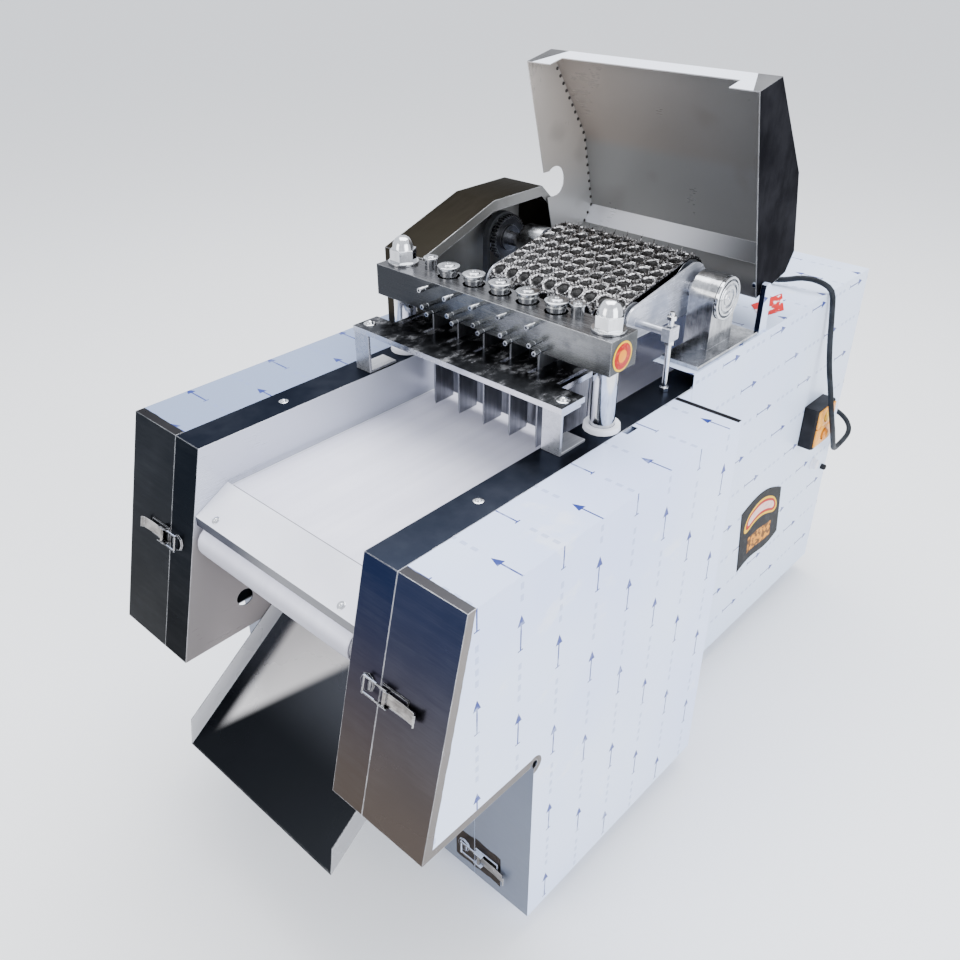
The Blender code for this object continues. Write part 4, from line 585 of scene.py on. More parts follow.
def plate_sheet():
    """Stripper plate: a polished top with a painted reflection of the head above it in broken bright
    blotches.
    """
    graph = Finish("stripper_steel")
    blotch = graph.noise(graph.stretch(graph.place, (1.0, 0.6, 1.0)), 62.0, 4.0, 0.65)
    patch = graph.noise(graph.place, 16.0)
    # Painted reflection of the knife head: broken bright blotches on the dark top.
    bright = graph.ramp(blotch, 0.44, 0.74) * graph.ramp(patch, 0.36, 0.66, 0.10, 1.0)
    top = graph.mix(bright, (0.085, 0.088, 0.096), (0.46, 0.46, 0.48))
    tone = graph.mix(graph.ramp(graph.parts(graph.normal)[2], 0.5, 0.8), (0.62, 0.62, 0.64), top)
    rough, relief = graph.spread(blotch, 0.18, 0.30), (blotch, 0.08, 0.0008)
    return graph.done(graph.worn_and_highlit(tone, 0.7), rough, relief, 1.0 - bright * 0.4, CALM)


CHUTE_STEEL, GUARD_STEEL, PLATE_STEEL = chute_sheet(), guard_sheet(), plate_sheet()
print("zoned sheets:", CHUTE_STEEL.name, GUARD_STEEL.name, PLATE_STEEL.name)

# %% [markdown]
# The open hood is painted charcoal outside as a dark reflection of the room. Inside, painted light and shade:
# a warm grey, lighter on the left, that gets cooler and darker downwards, with one facet painted bright as
# lit. A face of an end plate looks inward where its direction and its place across the machine have opposite
# signs. The front lip keeps a strip of film between bare ends.

# %% Hood sheet


def hood_sheet():
    """Outside, inside, end plates and lip, each picked by masks on the direction and the height; the outside
    and inside tones are painted reflection, light and shade.
    """
    graph = Finish("hood_steel")
    x, y, z = graph.parts(graph.place)
    nx, ny, nz = graph.parts(graph.normal)
    up = z - TOP_Z
    grain = graph.group(GRAIN, stretch=(0.05, 1.0, 0.05), blotch_scale=9.0)
    tone = grain["Streak"] * 0.3 + grain["Blotch"] * 0.7
    # Painted light and shade inside: lighter on the left, darker to the right.
    rightward = graph.ramp(x, -0.20, 0.15)
    warm = graph.mix(rightward, (0.40, 0.355, 0.32), (0.20, 0.198, 0.196))
    cool = graph.mix(rightward, (0.36, 0.36, 0.355), (0.215, 0.217, 0.222))
    lit = graph.mix(graph.ramp(x, -0.06, 0.15), (0.80, 0.81, 0.86), (0.085, 0.088, 0.095))
    end_inside = nx * x < -0.05
    end_tone = graph.mix(graph.ramp(up, 0.25, 0.14), (0.66, 0.61, 0.56), (0.60, 0.60, 0.60))
    # Painted shade: the inside gets cooler and darker downwards, with a dark band along its bottom; the lit
    # facet and the end plates' inner faces are painted light.
    wall = graph.layers(
        warm, (graph.ramp(up, 0.262, 0.236), cool), ((nz > 0.3) * (ny < -0.5), lit),
        (graph.ramp(up, 0.092, 0.084), (0.10, 0.102, 0.115)), (end_inside, end_tone),
    )
    inside = end_inside | (ny < -0.2)
    stain = graph.ramp(graph.noise(graph.place, 13.0, 1.0), 0.60, 0.85, 0.0, 0.35)
    colour = graph.layers(
        # Outside: a painted dark reflection of the room.
        graph.mix(graph.ramp(tone, 0.40, 0.66), (0.012, 0.012, 0.015), (0.034, 0.034, 0.040)),
        (inside, wall), (stain * inside, (0.16, 0.135, 0.12)),
    )
    lip = (nz > 0.8) * (up > 0.35)
    film = lip * (abs(x) + (y - (FRONT_Y + 0.73)) * 0.45 < 0.176)
    colour = graph.layers(
        graph.worn_and_highlit(colour, 0.6), (lip * 0.9, (0.21, 0.21, 0.215)), (film, (0.78, 0.82, 0.92)),
    )
    metal = (0.95 - inside * 0.50) * (1.0 - film)
    return graph.ground(colour, graph.spread(tone, 0.26, 0.40), grain, metal)


HOOD_STEEL = hood_sheet()
print("hood sheet:", HOOD_STEEL.name)

# %% [markdown]
# ## Plastics, belt and rubber
# Moulded and woven parts are dull next to the steel, but they are not flat: a food belt shows a faint
# weave and the marks of use, a plastic has a slight orange peel, and rubber gathers dust.

# %% Plastics and rubber


def plain(name, dark, light, roughness, patch_scale, grit_scale, grit_strength, coat=0.0):
    """A non-metal with slow colour patches and a fine surface grit."""
    graph = Finish(name)
    patch, grit = graph.noise(graph.place, patch_scale, 3.0, 0.55), graph.noise(graph.place, grit_scale)
    return graph.done(
        graph.mix(graph.spread(patch), dark, light), graph.spread(grit, roughness - 0.05, roughness + 0.07),
        (grit, grit_strength, 0.0004), others={"Coat Weight": coat, "Specular IOR Level": 0.14},
    )


WHITE_PLASTIC = plain("white_plastic", (0.74, 0.75, 0.82), (0.87, 0.88, 0.94), 0.42, 9.0, 600.0, 0.08)
RUBBER = plain("black_rubber", (0.018, 0.018, 0.020), (0.045, 0.045, 0.048), 0.68, 20.0, 900.0, 0.2)
BLACK_PLASTIC = plain("black_plastic", (0.006, 0.006, 0.007), (0.016, 0.016, 0.018), 0.50, 25.0, 800.0, 0.15)
AMBER_PLASTIC = plain("amber_plastic", (0.50, 0.15, 0.01), (0.72, 0.27, 0.02), 0.38, 30.0, 700.0, 0.05, 0.3)
YELLOW_PLASTIC = plain("yellow_plastic", (0.88, 0.50, 0.06), (0.98, 0.66, 0.12), 0.34, 60.0, 700.0, 0.05, 0.3)
MOTOR_PAINT = plain("motor_paint", (0.07, 0.12, 0.20), (0.11, 0.18, 0.28), 0.42, 14.0, 300.0, 0.12)
CORD_SHEATH = plain("cord_sheath", (0.009, 0.011, 0.014), (0.022, 0.025, 0.030), 0.55, 40.0, 900.0, 0.1)
print("plastics and rubber:", WHITE_PLASTIC.name, RUBBER.name, BLACK_PLASTIC.name, CORD_SHEATH.name)

# %% [markdown]
# The food belt is a woven sheet with a smooth white coat. Its weave is two sine waves across each
# other, and a dark seam runs over it. The nose plate before it is white plastic on a steel carrier.

# %% Belt and nose plate
SEAM_Y = -0.5167
WEAVE = 5200.0


def belt_fabric():
    """White food belt: a fine weave, a dark seam, and painted shade under its front turn and along its edges.
    """
    graph = Finish("white_belt")
    x, y, _ = graph.parts(graph.place)
    streak = graph.noise(graph.stretch(graph.place, (60.0, 2.0, 2.0)), 1.0, 3.0)
    tone = streak * 0.35 + graph.noise(graph.place, 5.0, 3.0) * 0.65
    # Painted shade under the belt's front turn and along its edges beside the channels.
    under = graph.ramp(y - FRONT_Y, 0.045, 0.020) * graph.ramp(graph.parts(graph.normal)[2], 0.75, 0.0)
    seam, edge = graph.ramp(abs(y - SEAM_Y), 0.0022, 0.0012), graph.ramp(abs(x), 0.1515, 0.1545)
    colour = graph.layers(
        graph.mix(graph.spread(tone), (0.68, 0.68, 0.80), (0.84, 0.84, 0.95)),
        (under * 0.75, (0.24, 0.24, 0.28)), (seam * 0.9, (0.020, 0.020, 0.024)),
        (edge * 0.35, (0.35, 0.35, 0.40)),
    )
    weave = graph.math("SINE", x * WEAVE) * graph.math("SINE", y * WEAVE)
    return graph.done(colour, graph.spread(tone, 0.42, 0.55), (weave, 0.05, 0.0003))


def nose_finish():
    """White plastic on a steel carrier: the narrow front lip is the carrier's edge, painted dark as shade."""
    graph = Finish("nose_plastic")
    lip = graph.parts(graph.normal)[1] < -0.8
    patch = graph.noise(graph.place, 7.0, 3.0)
    # Painted shade on the front lip: darkest on the left, grey to the right.
    sideways = graph.ramp(graph.parts(graph.place)[0], -0.10, 0.02)
    steel = graph.mix(sideways, (0.015, 0.018, 0.035), (0.16, 0.16, 0.17))
    white = graph.mix(graph.spread(patch), (0.74, 0.75, 0.84), (0.86, 0.87, 0.95))
    relief = (graph.noise(graph.place, 600.0), 0.06, 0.0004)
    return graph.done(graph.mix(lip, white, steel), graph.spread(patch, 0.36, 0.46), relief, lip)


BELT, NOSE_FINISH = belt_fabric(), nose_finish()
print("materials so far:", len(bpy.data.materials))

# %% [markdown]
# ## Steel under its protective film
# Most of the casing still wears its film: a pale bluish sheet with blue arrows. It is peeled from the
# front faces and from a strip along some edges, where dark bare steel shows. One material does both,
# and decides from the place and the direction of the surface. The normal picks the face, and a
# wavering line picks where the film was cut.

# %% Where the film is peeled
NOSE_BELOW = 0.3225
NOSE_SLANT = -0.079 / 0.322
COVER_INNER = 0.216


def within(value, low, high):
    """1 where a value lies between two others."""
    return (value > low) * (value < high)


def bare_places(graph, behind, below, aside, side_face, top_face, front_face):
    """1 on the front faces, along some edges and round the latches, where the film is peeled."""
    in_nose = below < NOSE_BELOW
    waver = (graph.noise(graph.place, 30.0) - 0.5) * 0.004
    front_strip = (behind - below * NOSE_SLANT + waver < 0.013) * in_nose
    low_strip = within(below, 0.309, NOSE_BELOW) * (behind < 0.125)
    corner = graph.length(behind - 0.119, below - NOSE_BELOW)
    peeled = front_strip | low_strip | (corner + waver < 0.015)
    latch_spot = within(below + waver * 4.0, 0.560, 0.622) * within(aside, 0.180, 0.268)
    on_cover = top_face * (aside > COVER_INNER)
    seam = on_cover * within(behind, 0.5405, 0.551)
    return front_face * (in_nose | latch_spot) | side_face * peeled | seam | on_cover * peeled


print("bare front down to", NOSE_BELOW, "m below the covers' top")

# %% [markdown]
# The film is printed in rows that run up on the covers and along the cabinet. Two coordinates on the
# surface carry the print, picked by the face that the surface belongs to. Creases with painted highlights and
# slow clouds of tone keep the large faces from looking flat. The film on the front faces and on the left
# cover's top is painted darker as shade.

# %% Film-covered steel


def film_steel():
    """Film with its print over most faces, and bare ground steel where it is peeled."""
    graph = Finish("film_covered_steel")
    x, y, z = graph.parts(graph.place)
    nx, ny, nz = graph.parts(graph.normal)
    side_face, top_face, front_face = abs(nx) > 0.7, nz > 0.7, ny < -0.7
    behind, aside = y - FRONT_Y, abs(x)
    bare = bare_places(graph, behind, TOP_Z - z, aside, side_face, top_face, front_face)

    on_cabinet = (behind > 0.585) * (aside < 0.2185)
    runs_up, crosswise = side_face * (1.0 - on_cabinet), 1.0 - side_face
    on_side = side_face * on_cabinet
    across = (runs_up + crosswise) * y + on_side * z
    along = runs_up * z + (crosswise * (x * -1.0) + on_side * y)
    printed = graph.group(FILM_PRINT, across=across, along=along)
    wrinkle = graph.noise(graph.stretch(graph.place, (1.0, 1.0, 1.6)), 9.0, 5.0, 0.62)
    film = graph.layers(
        graph.mix(graph.spread(graph.noise(graph.place, 2.2, 3.0)), (0.58, 0.68, 1.0), (0.71, 0.80, 1.0)),
        # Painted highlight on the film's creases.
        (graph.ramp(wrinkle, 0.60, 0.72) * 0.35, (0.94, 0.95, 0.98)),
        (on_cabinet * 0.45, (0.64, 0.73, 0.86)),
        # Painted shade on the film of the front faces and of the left cover's top.
        (front_face * 0.92, (0.075, 0.088, 0.120)),
        (top_face * (x < -COVER_INNER) * 0.92, (0.19, 0.25, 0.40)),
        (printed["Dash"] * 0.42, (0.20, 0.26, 0.50)), (printed["Arrow"], (0.002, 0.020, 0.20)),
    )
    # Painted reflection tone of the bare steel on the sides where the film is peeled.
    side = (0.21, 0.19, 0.175)
    steel, grain, _, _ = bare_colour(graph, (0.034, 0.033, 0.036), side, side)
    rough = bare * -0.04 + graph.spread(wrinkle, 0.30, 0.42)
    height = wrinkle * (1.0 - bare) + grain["Height"] * 0.02
    others = {"Coat Weight": 0.10, "Coat Roughness": 0.2, **CALM}
    return graph.done(graph.mix(bare, film, steel), rough, (height, 0.16, 0.004), bare, others)


FILM_STEEL = film_steel()
print("film print on:", FILM_STEEL.name)

# %% [markdown]
# ## Dressing the solid model's own parts
# A part whose shape is right keeps it and only gets its finish. Parts that stay out of sight get the
# finish straight on the solid. For the visible ones a copy is merged, because the solid is made of
# loose triangles, and a small bevel then rounds the copy's edges. A perfectly sharp edge catches no
# light and makes a picture look false. Weighted normals keep the flat faces flat beside the bevel.

# %% Coating and dressing
RIDES_ON = {node: body for body, nodes in frame["record"]["behaviour"]["bodies"].items() for node in nodes}
SLOTS_KNOWN = {entry["slot"] for entry in frame["record"]["materials"]}
SLOT_OF = {name: node.data.materials[0].name.split(".")[0] for name, node in frame["nodes"].items()}
assert set(SLOT_OF.values()) <= SLOTS_KNOWN


def coat(name, material):
    """Puts a finish on a solid part through its object's own slots."""
    for place in frame["nodes"][name].material_slots:
        place.link = "OBJECT"
        place.material = material


MERGE_NEAR, FLAT_ANGLE = 0.00001, math.radians(0.5)
EDGE_ROUND, EDGE_ANGLE = 0.0006, math.radians(40.0)


def dress(name, material, bevel):
    """A merged copy of a solid part with its finish and slightly rounded edges; it stands for the part."""
    mesh = bpy.data.meshes.new(name + "_finish")
    merged = bmesh.new()
    merged.from_mesh(frame["nodes"][name].data)
    bmesh.ops.remove_doubles(merged, verts=merged.verts, dist=MERGE_NEAR)
    bmesh.ops.dissolve_limit(merged, angle_limit=FLAT_ANGLE, verts=merged.verts, edges=merged.edges)
    merged.to_mesh(mesh)
    merged.free()
    mesh.materials.clear()
    mesh.materials.append(material)
    mesh.shade_smooth()
    copy = place_in_scene(name + "_finish", mesh)
    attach(copy, RIDES_ON[name])
    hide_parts(name)
    edge = copy.modifiers.new("round_edges", "BEVEL")
    edge.width, edge.segments = bevel, 2
    edge.limit_method, edge.angle_limit = "ANGLE", EDGE_ANGLE
    copy.modifiers.new("even_normals", "WEIGHTED_NORMAL").keep_sharp = True
    return copy


print("slots of the solid parts:", sorted(SLOTS_KNOWN))

# %% [markdown]
# Now each solid part gets its finish by name. The drive inside the casing is only coated, and all
# that can be seen is dressed. Thin or finely cut parts get a smaller rounding.

# %% Finish of each part
HIDDEN = {
    "belt_drive_roller": BRUSHED, "yoke": CAST_IRON, "crankshaft": CAST_IRON, "crank_stand": CAST_IRON,
    "motor": MOTOR_PAINT, "motor_pulley": CAST_IRON, "drive_belt": RUBBER,
    "connecting_rod_right": CAST_IRON, "connecting_rod_left": CAST_IRON,
}
SHOWN = {
    "base_casing": FILM_STEEL, "rear_cabinet": FILM_STEEL, "side_cover_right": FILM_STEEL,
    "side_cover_left": FILM_STEEL, "channel_right": CHANNEL_STEEL, "channel_left": CHANNEL_STEEL,
    "conveyor_belt": BELT, "bed_plate": WHITE_PLASTIC, "nose_plate": NOSE_FINISH,
    "belt_front_roller": WHITE_PLASTIC, "discharge_chute": CHUTE_STEEL, "crosshead": HEAD_STEEL,
    "cross_knife": BLADE_STEEL, "stripper_plate": PLATE_STEEL, "press_frame": PRESS_STEEL,
    "press_front_roller": BRUSHED, "press_shaft": POLISHED, "jackshaft": BRUSHED,
    "roller_chain": CAST_IRON, "adjusting_screw": POLISHED, "chain_guard": GUARD_STEEL,
    "hood": HOOD_STEEL, "switch_box": BLACK_PLASTIC, "start_button": YELLOW_PLASTIC,
    "stop_button": AMBER_PLASTIC, "cord_plug": BLACK_PLASTIC, "cord_gland": WHITE_PLASTIC,
}
for blade in range(1, 6):
    SHOWN[f"long_blade_{blade}"] = BLADE_STEEL
PAIRS = {
    "guide_post": POLISHED, "bearing_block": BOLT_STEEL, "upper_latch": LATCH_STEEL,
    "lower_latch": LATCH_STEEL, "stripper_bracket": BRUSHED, "post_bush": WHITE_PLASTIC,
    "foot_front": RUBBER, "foot_rear": RUBBER,
}
for part, material in PAIRS.items():
    SHOWN[part + "_right"] = SHOWN[part + "_left"] = material
FINE_EDGES = {"roller_chain": 0.0003, "stripper_plate": 0.0004, "hood": 0.0004, "chain_guard": 0.0005}

for name, material in HIDDEN.items():
    coat(name, material)
DRESSED = {name: dress(name, material, FINE_EDGES.get(name, EDGE_ROUND)) for name, material in SHOWN.items()}
print("coated", len(HIDDEN), "and dressed", len(DRESSED), "of", len(frame["nodes"]), "solid parts")

# %% [markdown]
# ## Shapes from arrays
# The new pieces are surfaces worked out with numpy. Each one is a grid of points from two parameters,
# and the faces of any grid are the same: a square between four neighbours. A grid can be closed in
# either direction, which makes a tube or a ring of it.

# %% Array helpers


def grid_faces(rows, columns, close_rows=False, close_columns=False):
    """Square faces of a grid of points: corner (i, j) joins (i, j + 1), (i + 1, j + 1) and (i + 1, j)."""
    i = np.arange(rows if close_rows else rows - 1)
    j = np.arange(columns if close_columns else columns - 1)
    i, j = np.meshgrid(i, j, indexing="ij")
    below, right = (i + 1) % rows, (j + 1) % columns
    faces = np.stack(
        [i * columns + j, i * columns + right, below * columns + right, below * columns + j], axis=-1,
    )
    return faces.reshape(-1, 4)


MERGE_NEW = 0.000002


def new_piece(name, points, faces, material, body, slot=None, smooth=35.0):
    """
    A mesh object from arrays of points and faces, riding on a body, smooth below an angle. Points
    that fall together are merged, which closes seams and poles, and the normals are turned outward.
    """
    mesh = bpy.data.meshes.new(name)
    mesh.from_pydata(np.asarray(points, float).reshape(-1, 3), [], np.asarray(faces))
    mesh.materials.append(material)
    closed = bmesh.new()
    closed.from_mesh(mesh)
    bmesh.ops.remove_doubles(closed, verts=closed.verts, dist=MERGE_NEW)
    bmesh.ops.recalc_face_normals(closed, faces=closed.faces)
    closed.to_mesh(mesh)
    closed.free()
    mesh.shade_smooth()
    mesh.set_sharp_from_angle(angle=math.radians(smooth))
    made = place_in_scene(name, mesh)
    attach(made, body)
    return made


print("a closed ring of 4 by 3 points has", len(grid_faces(4, 3, True, True)), "faces")

# %% [markdown]
# ## The power cord
# The cord leaves a gland on the rear panel, goes round the corner, rises beside the switch box and
# comes to rest on the deck. The length that nobody sees is wound in a flat coil behind the hood, and
# ends in a plug. It is one curve: a listed route that is smoothed, and then a wound part in
# which the angle grows steadily while the radius and the layer step from turn to turn.

# %% Cord route
CORD_RADIUS = 0.005
CORD_BEND = 0.041
COIL_MEAN_RADIUS = 0.057
COIL_X, COIL_BACK = 0.0, 1.052
GLAND_X, GLAND_UP = 0.150, -0.300
GAP = 0.0003
OUTER_TURN, INNER_TURN = COIL_MEAN_RADIUS + CORD_RADIUS, COIL_MEAN_RADIUS - CORD_RADIUS
LAYER = 2 * CORD_RADIUS
LOW_LAYER = DECK_RISE + CORD_RADIUS + 0.0008


def free_route():
    """The route's own points, as in the solid model: (across, behind the front edge, above the covers)."""
    turns = np.linspace(0.0, math.pi, 7)
    x, back = GLAND_X + CORD_BEND * (1 - np.cos(turns)), REAR_BACK + 0.0430 + CORD_BEND * np.sin(turns)
    corner = np.stack([x, back, GLAND_UP - 0.016 * turns], axis=1)
    climb = np.array([
        (0.018, -0.006, -0.052), (0.025, -0.046, -0.037), (0.037, -0.092, 0.002),
        (0.045, -0.134, 0.052), (0.046, -0.160, 0.095), (0.038, -0.166, 0.140),
        (0.025, -0.163, 0.185), (0.015, -0.160, 0.235), (0.0105, -0.164, 0.282),
    ]) + (CORE_HALF, REAR_BACK, GLAND_UP)
    over_edge = np.array([
        (0.0055, -0.173, 0.005), (-0.016, -0.184, 0.021), (-0.044, -0.190, 0.022),
        (-0.074, -0.192, 0.0125), (-0.106, -0.200, 0.0080),
    ]) + (CORE_HALF, REAR_BACK, DECK_RISE)
    reach = math.sqrt((OUTER_TURN + CORD_RADIUS + GAP) ** 2 - (OUTER_TURN - CORD_RADIUS) ** 2)
    onto_coil = np.array([
        (COIL_X + 0.072, COIL_BACK - OUTER_TURN - 0.0015, LOW_LAYER),
        (COIL_X + reach, COIL_BACK - OUTER_TURN, LOW_LAYER),
    ])
    start = [(GLAND_X, REAR_BACK + 0.0234, GLAND_UP)]
    return np.concatenate([start, corner, climb, over_edge, onto_coil])


def smooth_curve(knots, steps):
    """Catmull-Rom curve: each stretch is a cubic through two knots, with slopes from their neighbours."""
    padded = np.concatenate([[2 * knots[0] - knots[1]], knots, [2 * knots[-1] - knots[-2]]])
    p0, p1, p2, p3 = padded[:-3, None], padded[1:-2, None], padded[2:-1, None], padded[3:, None]
    t = np.linspace(0.0, 1.0, steps, endpoint=False)[None, :, None]
    cubic = 2 * p1 + (p2 - p0) * t + (2 * p0 - 5 * p1 + 4 * p2 - p3) * t ** 2
    cubic = (cubic + (3 * p1 - p0 - 3 * p2 + p3) * t ** 3) / 2
    return np.concatenate([cubic.reshape(-1, 3), knots[-1:]])


TURNS, PER_TURN = 5.25, 40
SLOTS = np.array([
    (OUTER_TURN, 0), (INNER_TURN, 0), (INNER_TURN, 1), (OUTER_TURN, 1), (INNER_TURN, 2), (OUTER_TURN, 2),
    (OUTER_TURN, 2),
]) * (1, LAYER) + (0, LOW_LAYER)
CHANGES = np.array([(0.83, 1.00), (0.67, 0.84), (0.51, 0.68), (0.34, 0.53), (0.18, 0.36), (2.0, 3.0)])


def wound_part():
    """
    Turns of a coil that is two cords wide and three high. The angle grows steadily, clockwise. Each
    turn eases from its own slot to the next one, and later turns do so earlier in the round, so that
    a slot is free before the next turn comes into it. The last turn stays in its slot.
    """
    turn = np.arange(0, TURNS, 1 / PER_TURN)
    whole = np.floor(turn).astype(int)
    begin, end = CHANGES[whole].T
    share = np.clip((turn - whole - begin) / (end - begin), 0.0, 1.0)
    ease = ((1 - np.cos(np.pi * share)) / 2)[:, None]
    radius, height = (SLOTS[whole] * (1 - ease) + SLOTS[whole + 1] * ease).T
    angle = -math.pi / 2 - 2 * math.pi * turn
    return np.stack([COIL_X + radius * np.cos(angle), COIL_BACK + radius * np.sin(angle), height], axis=1)


print("coil points:", len(wound_part()))

# %% [markdown] The plug's tail faces the coil's west side, so the cord leaves the last turn there
# and runs straight back into it.

# %% Cord piece
PLUG_AXIS = DECK_RISE + GAP + 0.019
tail_back = COIL_BACK + math.sqrt((OUTER_TURN + CORD_RADIUS + GAP) ** 2 - (OUTER_TURN - 0.0065) ** 2)
last_bit = np.array([
    (0.0, COIL_BACK + 0.002, LOW_LAYER + 2 * LAYER), (0.0, COIL_BACK + 0.020, LOW_LAYER + 1.85 * LAYER),
    (0.0, tail_back - 0.0006, PLUG_AXIS),
]) + (COIL_X - OUTER_TURN, 0.0, 0.0)
line = np.concatenate([smooth_curve(free_route(), 3)[:-1], wound_part()[1:], last_bit])
line += (0.0, FRONT_Y, TOP_Z)

curve = bpy.data.curves.new("power_cord_line", "CURVE")
curve.dimensions = "3D"
spline = curve.splines.new("POLY")
spline.points.add(len(line) - 1)
spline.points.foreach_set("co", np.append(line, np.ones((len(line), 1)), axis=1).ravel())
curve.bevel_depth, curve.bevel_resolution = CORD_RADIUS, 4
curve.use_fill_caps = True
curve.materials.append(CORD_SHEATH)
cord = place_in_scene("power_cord_piece", curve)
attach(cord, "machine_frame")
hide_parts("power_cord", "cord_coil")

# %% [markdown]
# ## Shapes built from stacked outlines
# Screws, washers, stickers and plates are the same idea: a flat outline that is repeated at several
# heights and drawn in or out between them. The loops give the wall, and a last loop that shrinks to
# its middle closes the piece. Three directions say which way the piece lies.

# %% Stacked outlines
AXES = {
    "up": ((1, 0, 0), (0, 1, 0), (0, 0, 1)),
    "forward": ((1, 0, 0), (0, 0, 1), (0, -1, 0)),
    "right": ((0, 1, 0), (0, 0, 1), (1, 0, 0)),
    "nose": ((1, 0, 0), (0.0, 0.883, 0.469), (0.0, -0.469, 0.883)),
}


def directions(count, start=0.0):
    """Evenly spaced angles, and the unit steps that they point to: cosine and sine."""
    angle = np.linspace(0, 2 * math.pi, count, endpoint=False) + start
    return angle, np.stack([np.cos(angle), np.sin(angle)], axis=1)


def round_outline(radius, count=32):
    """Circle: the radius times evenly spaced directions."""
    return radius * directions(count)[1]


def rounded_outline(half_u, half_v, corner, count=32):
    """Rounded rectangle: quarter circles round the corners' centres, joined by straight sides."""
    unit = directions(count, math.pi / count)[1]
    return np.sign(unit) * (half_u - corner, half_v - corner) + corner * unit


def stacked(place, facing, loops, ring=False):
    """Loops of (outline, height): point = place + u * across + v * upwards + height * outward."""
    across, upwards, outward = np.array(AXES[facing], float)
    rows = [
        outline[:, :1] * across + outline[:, 1:] * upwards + height * outward
        for outline, height in loops
    ]
    if not ring:
        rows = [rows[0] * 0 + loops[0][1] * outward] + rows + [rows[-1] * 0 + loops[-1][1] * outward]
    points = np.concatenate(rows) + np.array(place, float)
    return points, grid_faces(len(rows), len(rows[0]), close_rows=ring, close_columns=True)


def turned(place, facing, profile, count=32, ring=False):
    """Solid of revolution about the facing direction, from pairs of (height, radius)."""
    loops = [(round_outline(radius, count), height) for height, radius in profile]
    return stacked(place, facing, loops, ring)


def joined(shapes):
    """Several shapes as one: their points one after another, and their faces counted on."""
    starts = np.cumsum([0] + [len(points) for points, _ in shapes[:-1]])
    points = np.concatenate([points for points, _ in shapes])
    return points, np.concatenate([faces + start for (_, faces), start in zip(shapes, starts)])


print("a turned disc of 32 sides has", len(turned((0, 0, 0), "up", [(0, 1), (1, 1)])[1]), "faces")

# %% [markdown]
# ## The knife head's bolts
# Each blade hangs on a bolt with a large dished washer on the head's top, and three rows of small
# clamping screws stick out of its front. Each one is a turned profile, in which the radius follows
# the height. A screw's socket is made by letting the profile go down into the head before it closes.

# %% Head bolts
HEAD_TOP, HEAD_FRONT = 0.1424, 0.372
BLADE_SPOTS = (-0.100, -0.050, 0.0, 0.050, 0.100)
WASHER = np.array([
    (-0.0002, 0.84), (0.0128, 0.84), (0.0129, 0.98), (0.0134, 1.03), (0.0152, 1.03), (0.0157, 0.97),
    (0.0153, 0.66), (0.0156, 0.58), (0.0170, 0.55), (0.0178, 0.46), (0.0178, 0.26), (0.0158, 0.22),
])
STUD = [
    (-0.001, 0.0031), (0.0100, 0.0031), (0.0104, 0.0026), (0.0116, 0.0026), (0.0120, 0.0038),
    (0.0208, 0.0038), (0.0216, 0.0032), (0.0216, 0.0020), (0.0175, 0.0018),
]
STUD_ROWS = ((0.0, 0.1345), (0.005, 0.1105), (0.014, 0.1015))


def washer_bolt(x, behind, radius):
    """Dished washer on a collar, with a flat screw in its middle."""
    return turned(at(x, behind, HEAD_TOP), "up", WASHER * (1.0, radius), 40)


discs = [washer_bolt(x, 0.4085, 0.0160) for x in BLADE_SPOTS]
discs += [washer_bolt(x, 0.4175, 0.0108) for x in (0.1285, -0.1455)]
new_piece("head_washer_bolts", *joined(discs), BOLT_STEEL, "knife_head", "polished_steel")
studs = [
    turned(at(x + shift - 0.004, HEAD_FRONT, up), "forward", STUD, 20)
    for shift, up in STUD_ROWS
    for x in BLADE_SPOTS
]
new_piece("head_clamp_screws", *joined(studs), BOLT_STEEL, "knife_head", "polished_steel")
print("head bolts:", len(discs), "washers and", len(studs), "clamp screws")

# %% [markdown]
# ## Screws of the casing
# A screw with a washer holds each end of the stripper plate, and small domed screws sit on the
# channels' tops and on the nose plate. They are bright dots in the picture, worth their few faces.

# %% Casing screws


def washered_screw(place, facing="up", size=1.0):
    """A thin washer under a domed head: the dome's height follows a quarter circle."""
    quarter = np.linspace(0, math.pi / 2, 7)[:-2]
    dome = np.stack([0.0014 + 0.0044 * np.sin(quarter), 0.0056 * np.cos(quarter)], axis=1)
    foot = np.array([(-0.0002, 0.0095), (0.0010, 0.0095), (0.0013, 0.0090), (0.0014, 0.0058)])
    socket = np.array([(0.0058, 0.0019), (0.0040, 0.0017)])
    return turned(place, facing, np.concatenate([foot, dome, socket]) * size, 28)


screws = [washered_screw(at(x, 0.322, 0.070)) for x in (-0.182, 0.184)]
screws += [washered_screw(at(x, 0.158, 0.0), size=0.72) for x in (-0.189, 0.189)]
screws += [washered_screw(at(x, -0.0120, -0.0902), "nose", 0.60) for x in (-0.128, 0.128)]
new_piece("casing_screws", *joined(screws), POLISHED, "machine_frame", "polished_steel")
print("casing screws:", len(screws))

# %% [markdown]
# ## The press conveyor's mat
# The mat that presses the meat down is a steel sheet with rows of large holes and bright claws
# between them. It runs round a roller and a drum as a closed loop, so its surface is a function of
# the way along the loop and the way across it. The loop gives the place and the outward direction.

# %% Mat path
NOSE_ROLLER = (0.5535, 0.090, 0.0293)
DRUM = (0.700, 0.101, 0.0448)
MAT_HALF, MAT_THICK = 0.1255, 0.0027
HOLES_ALONG, HOLES_ACROSS = 22, 10


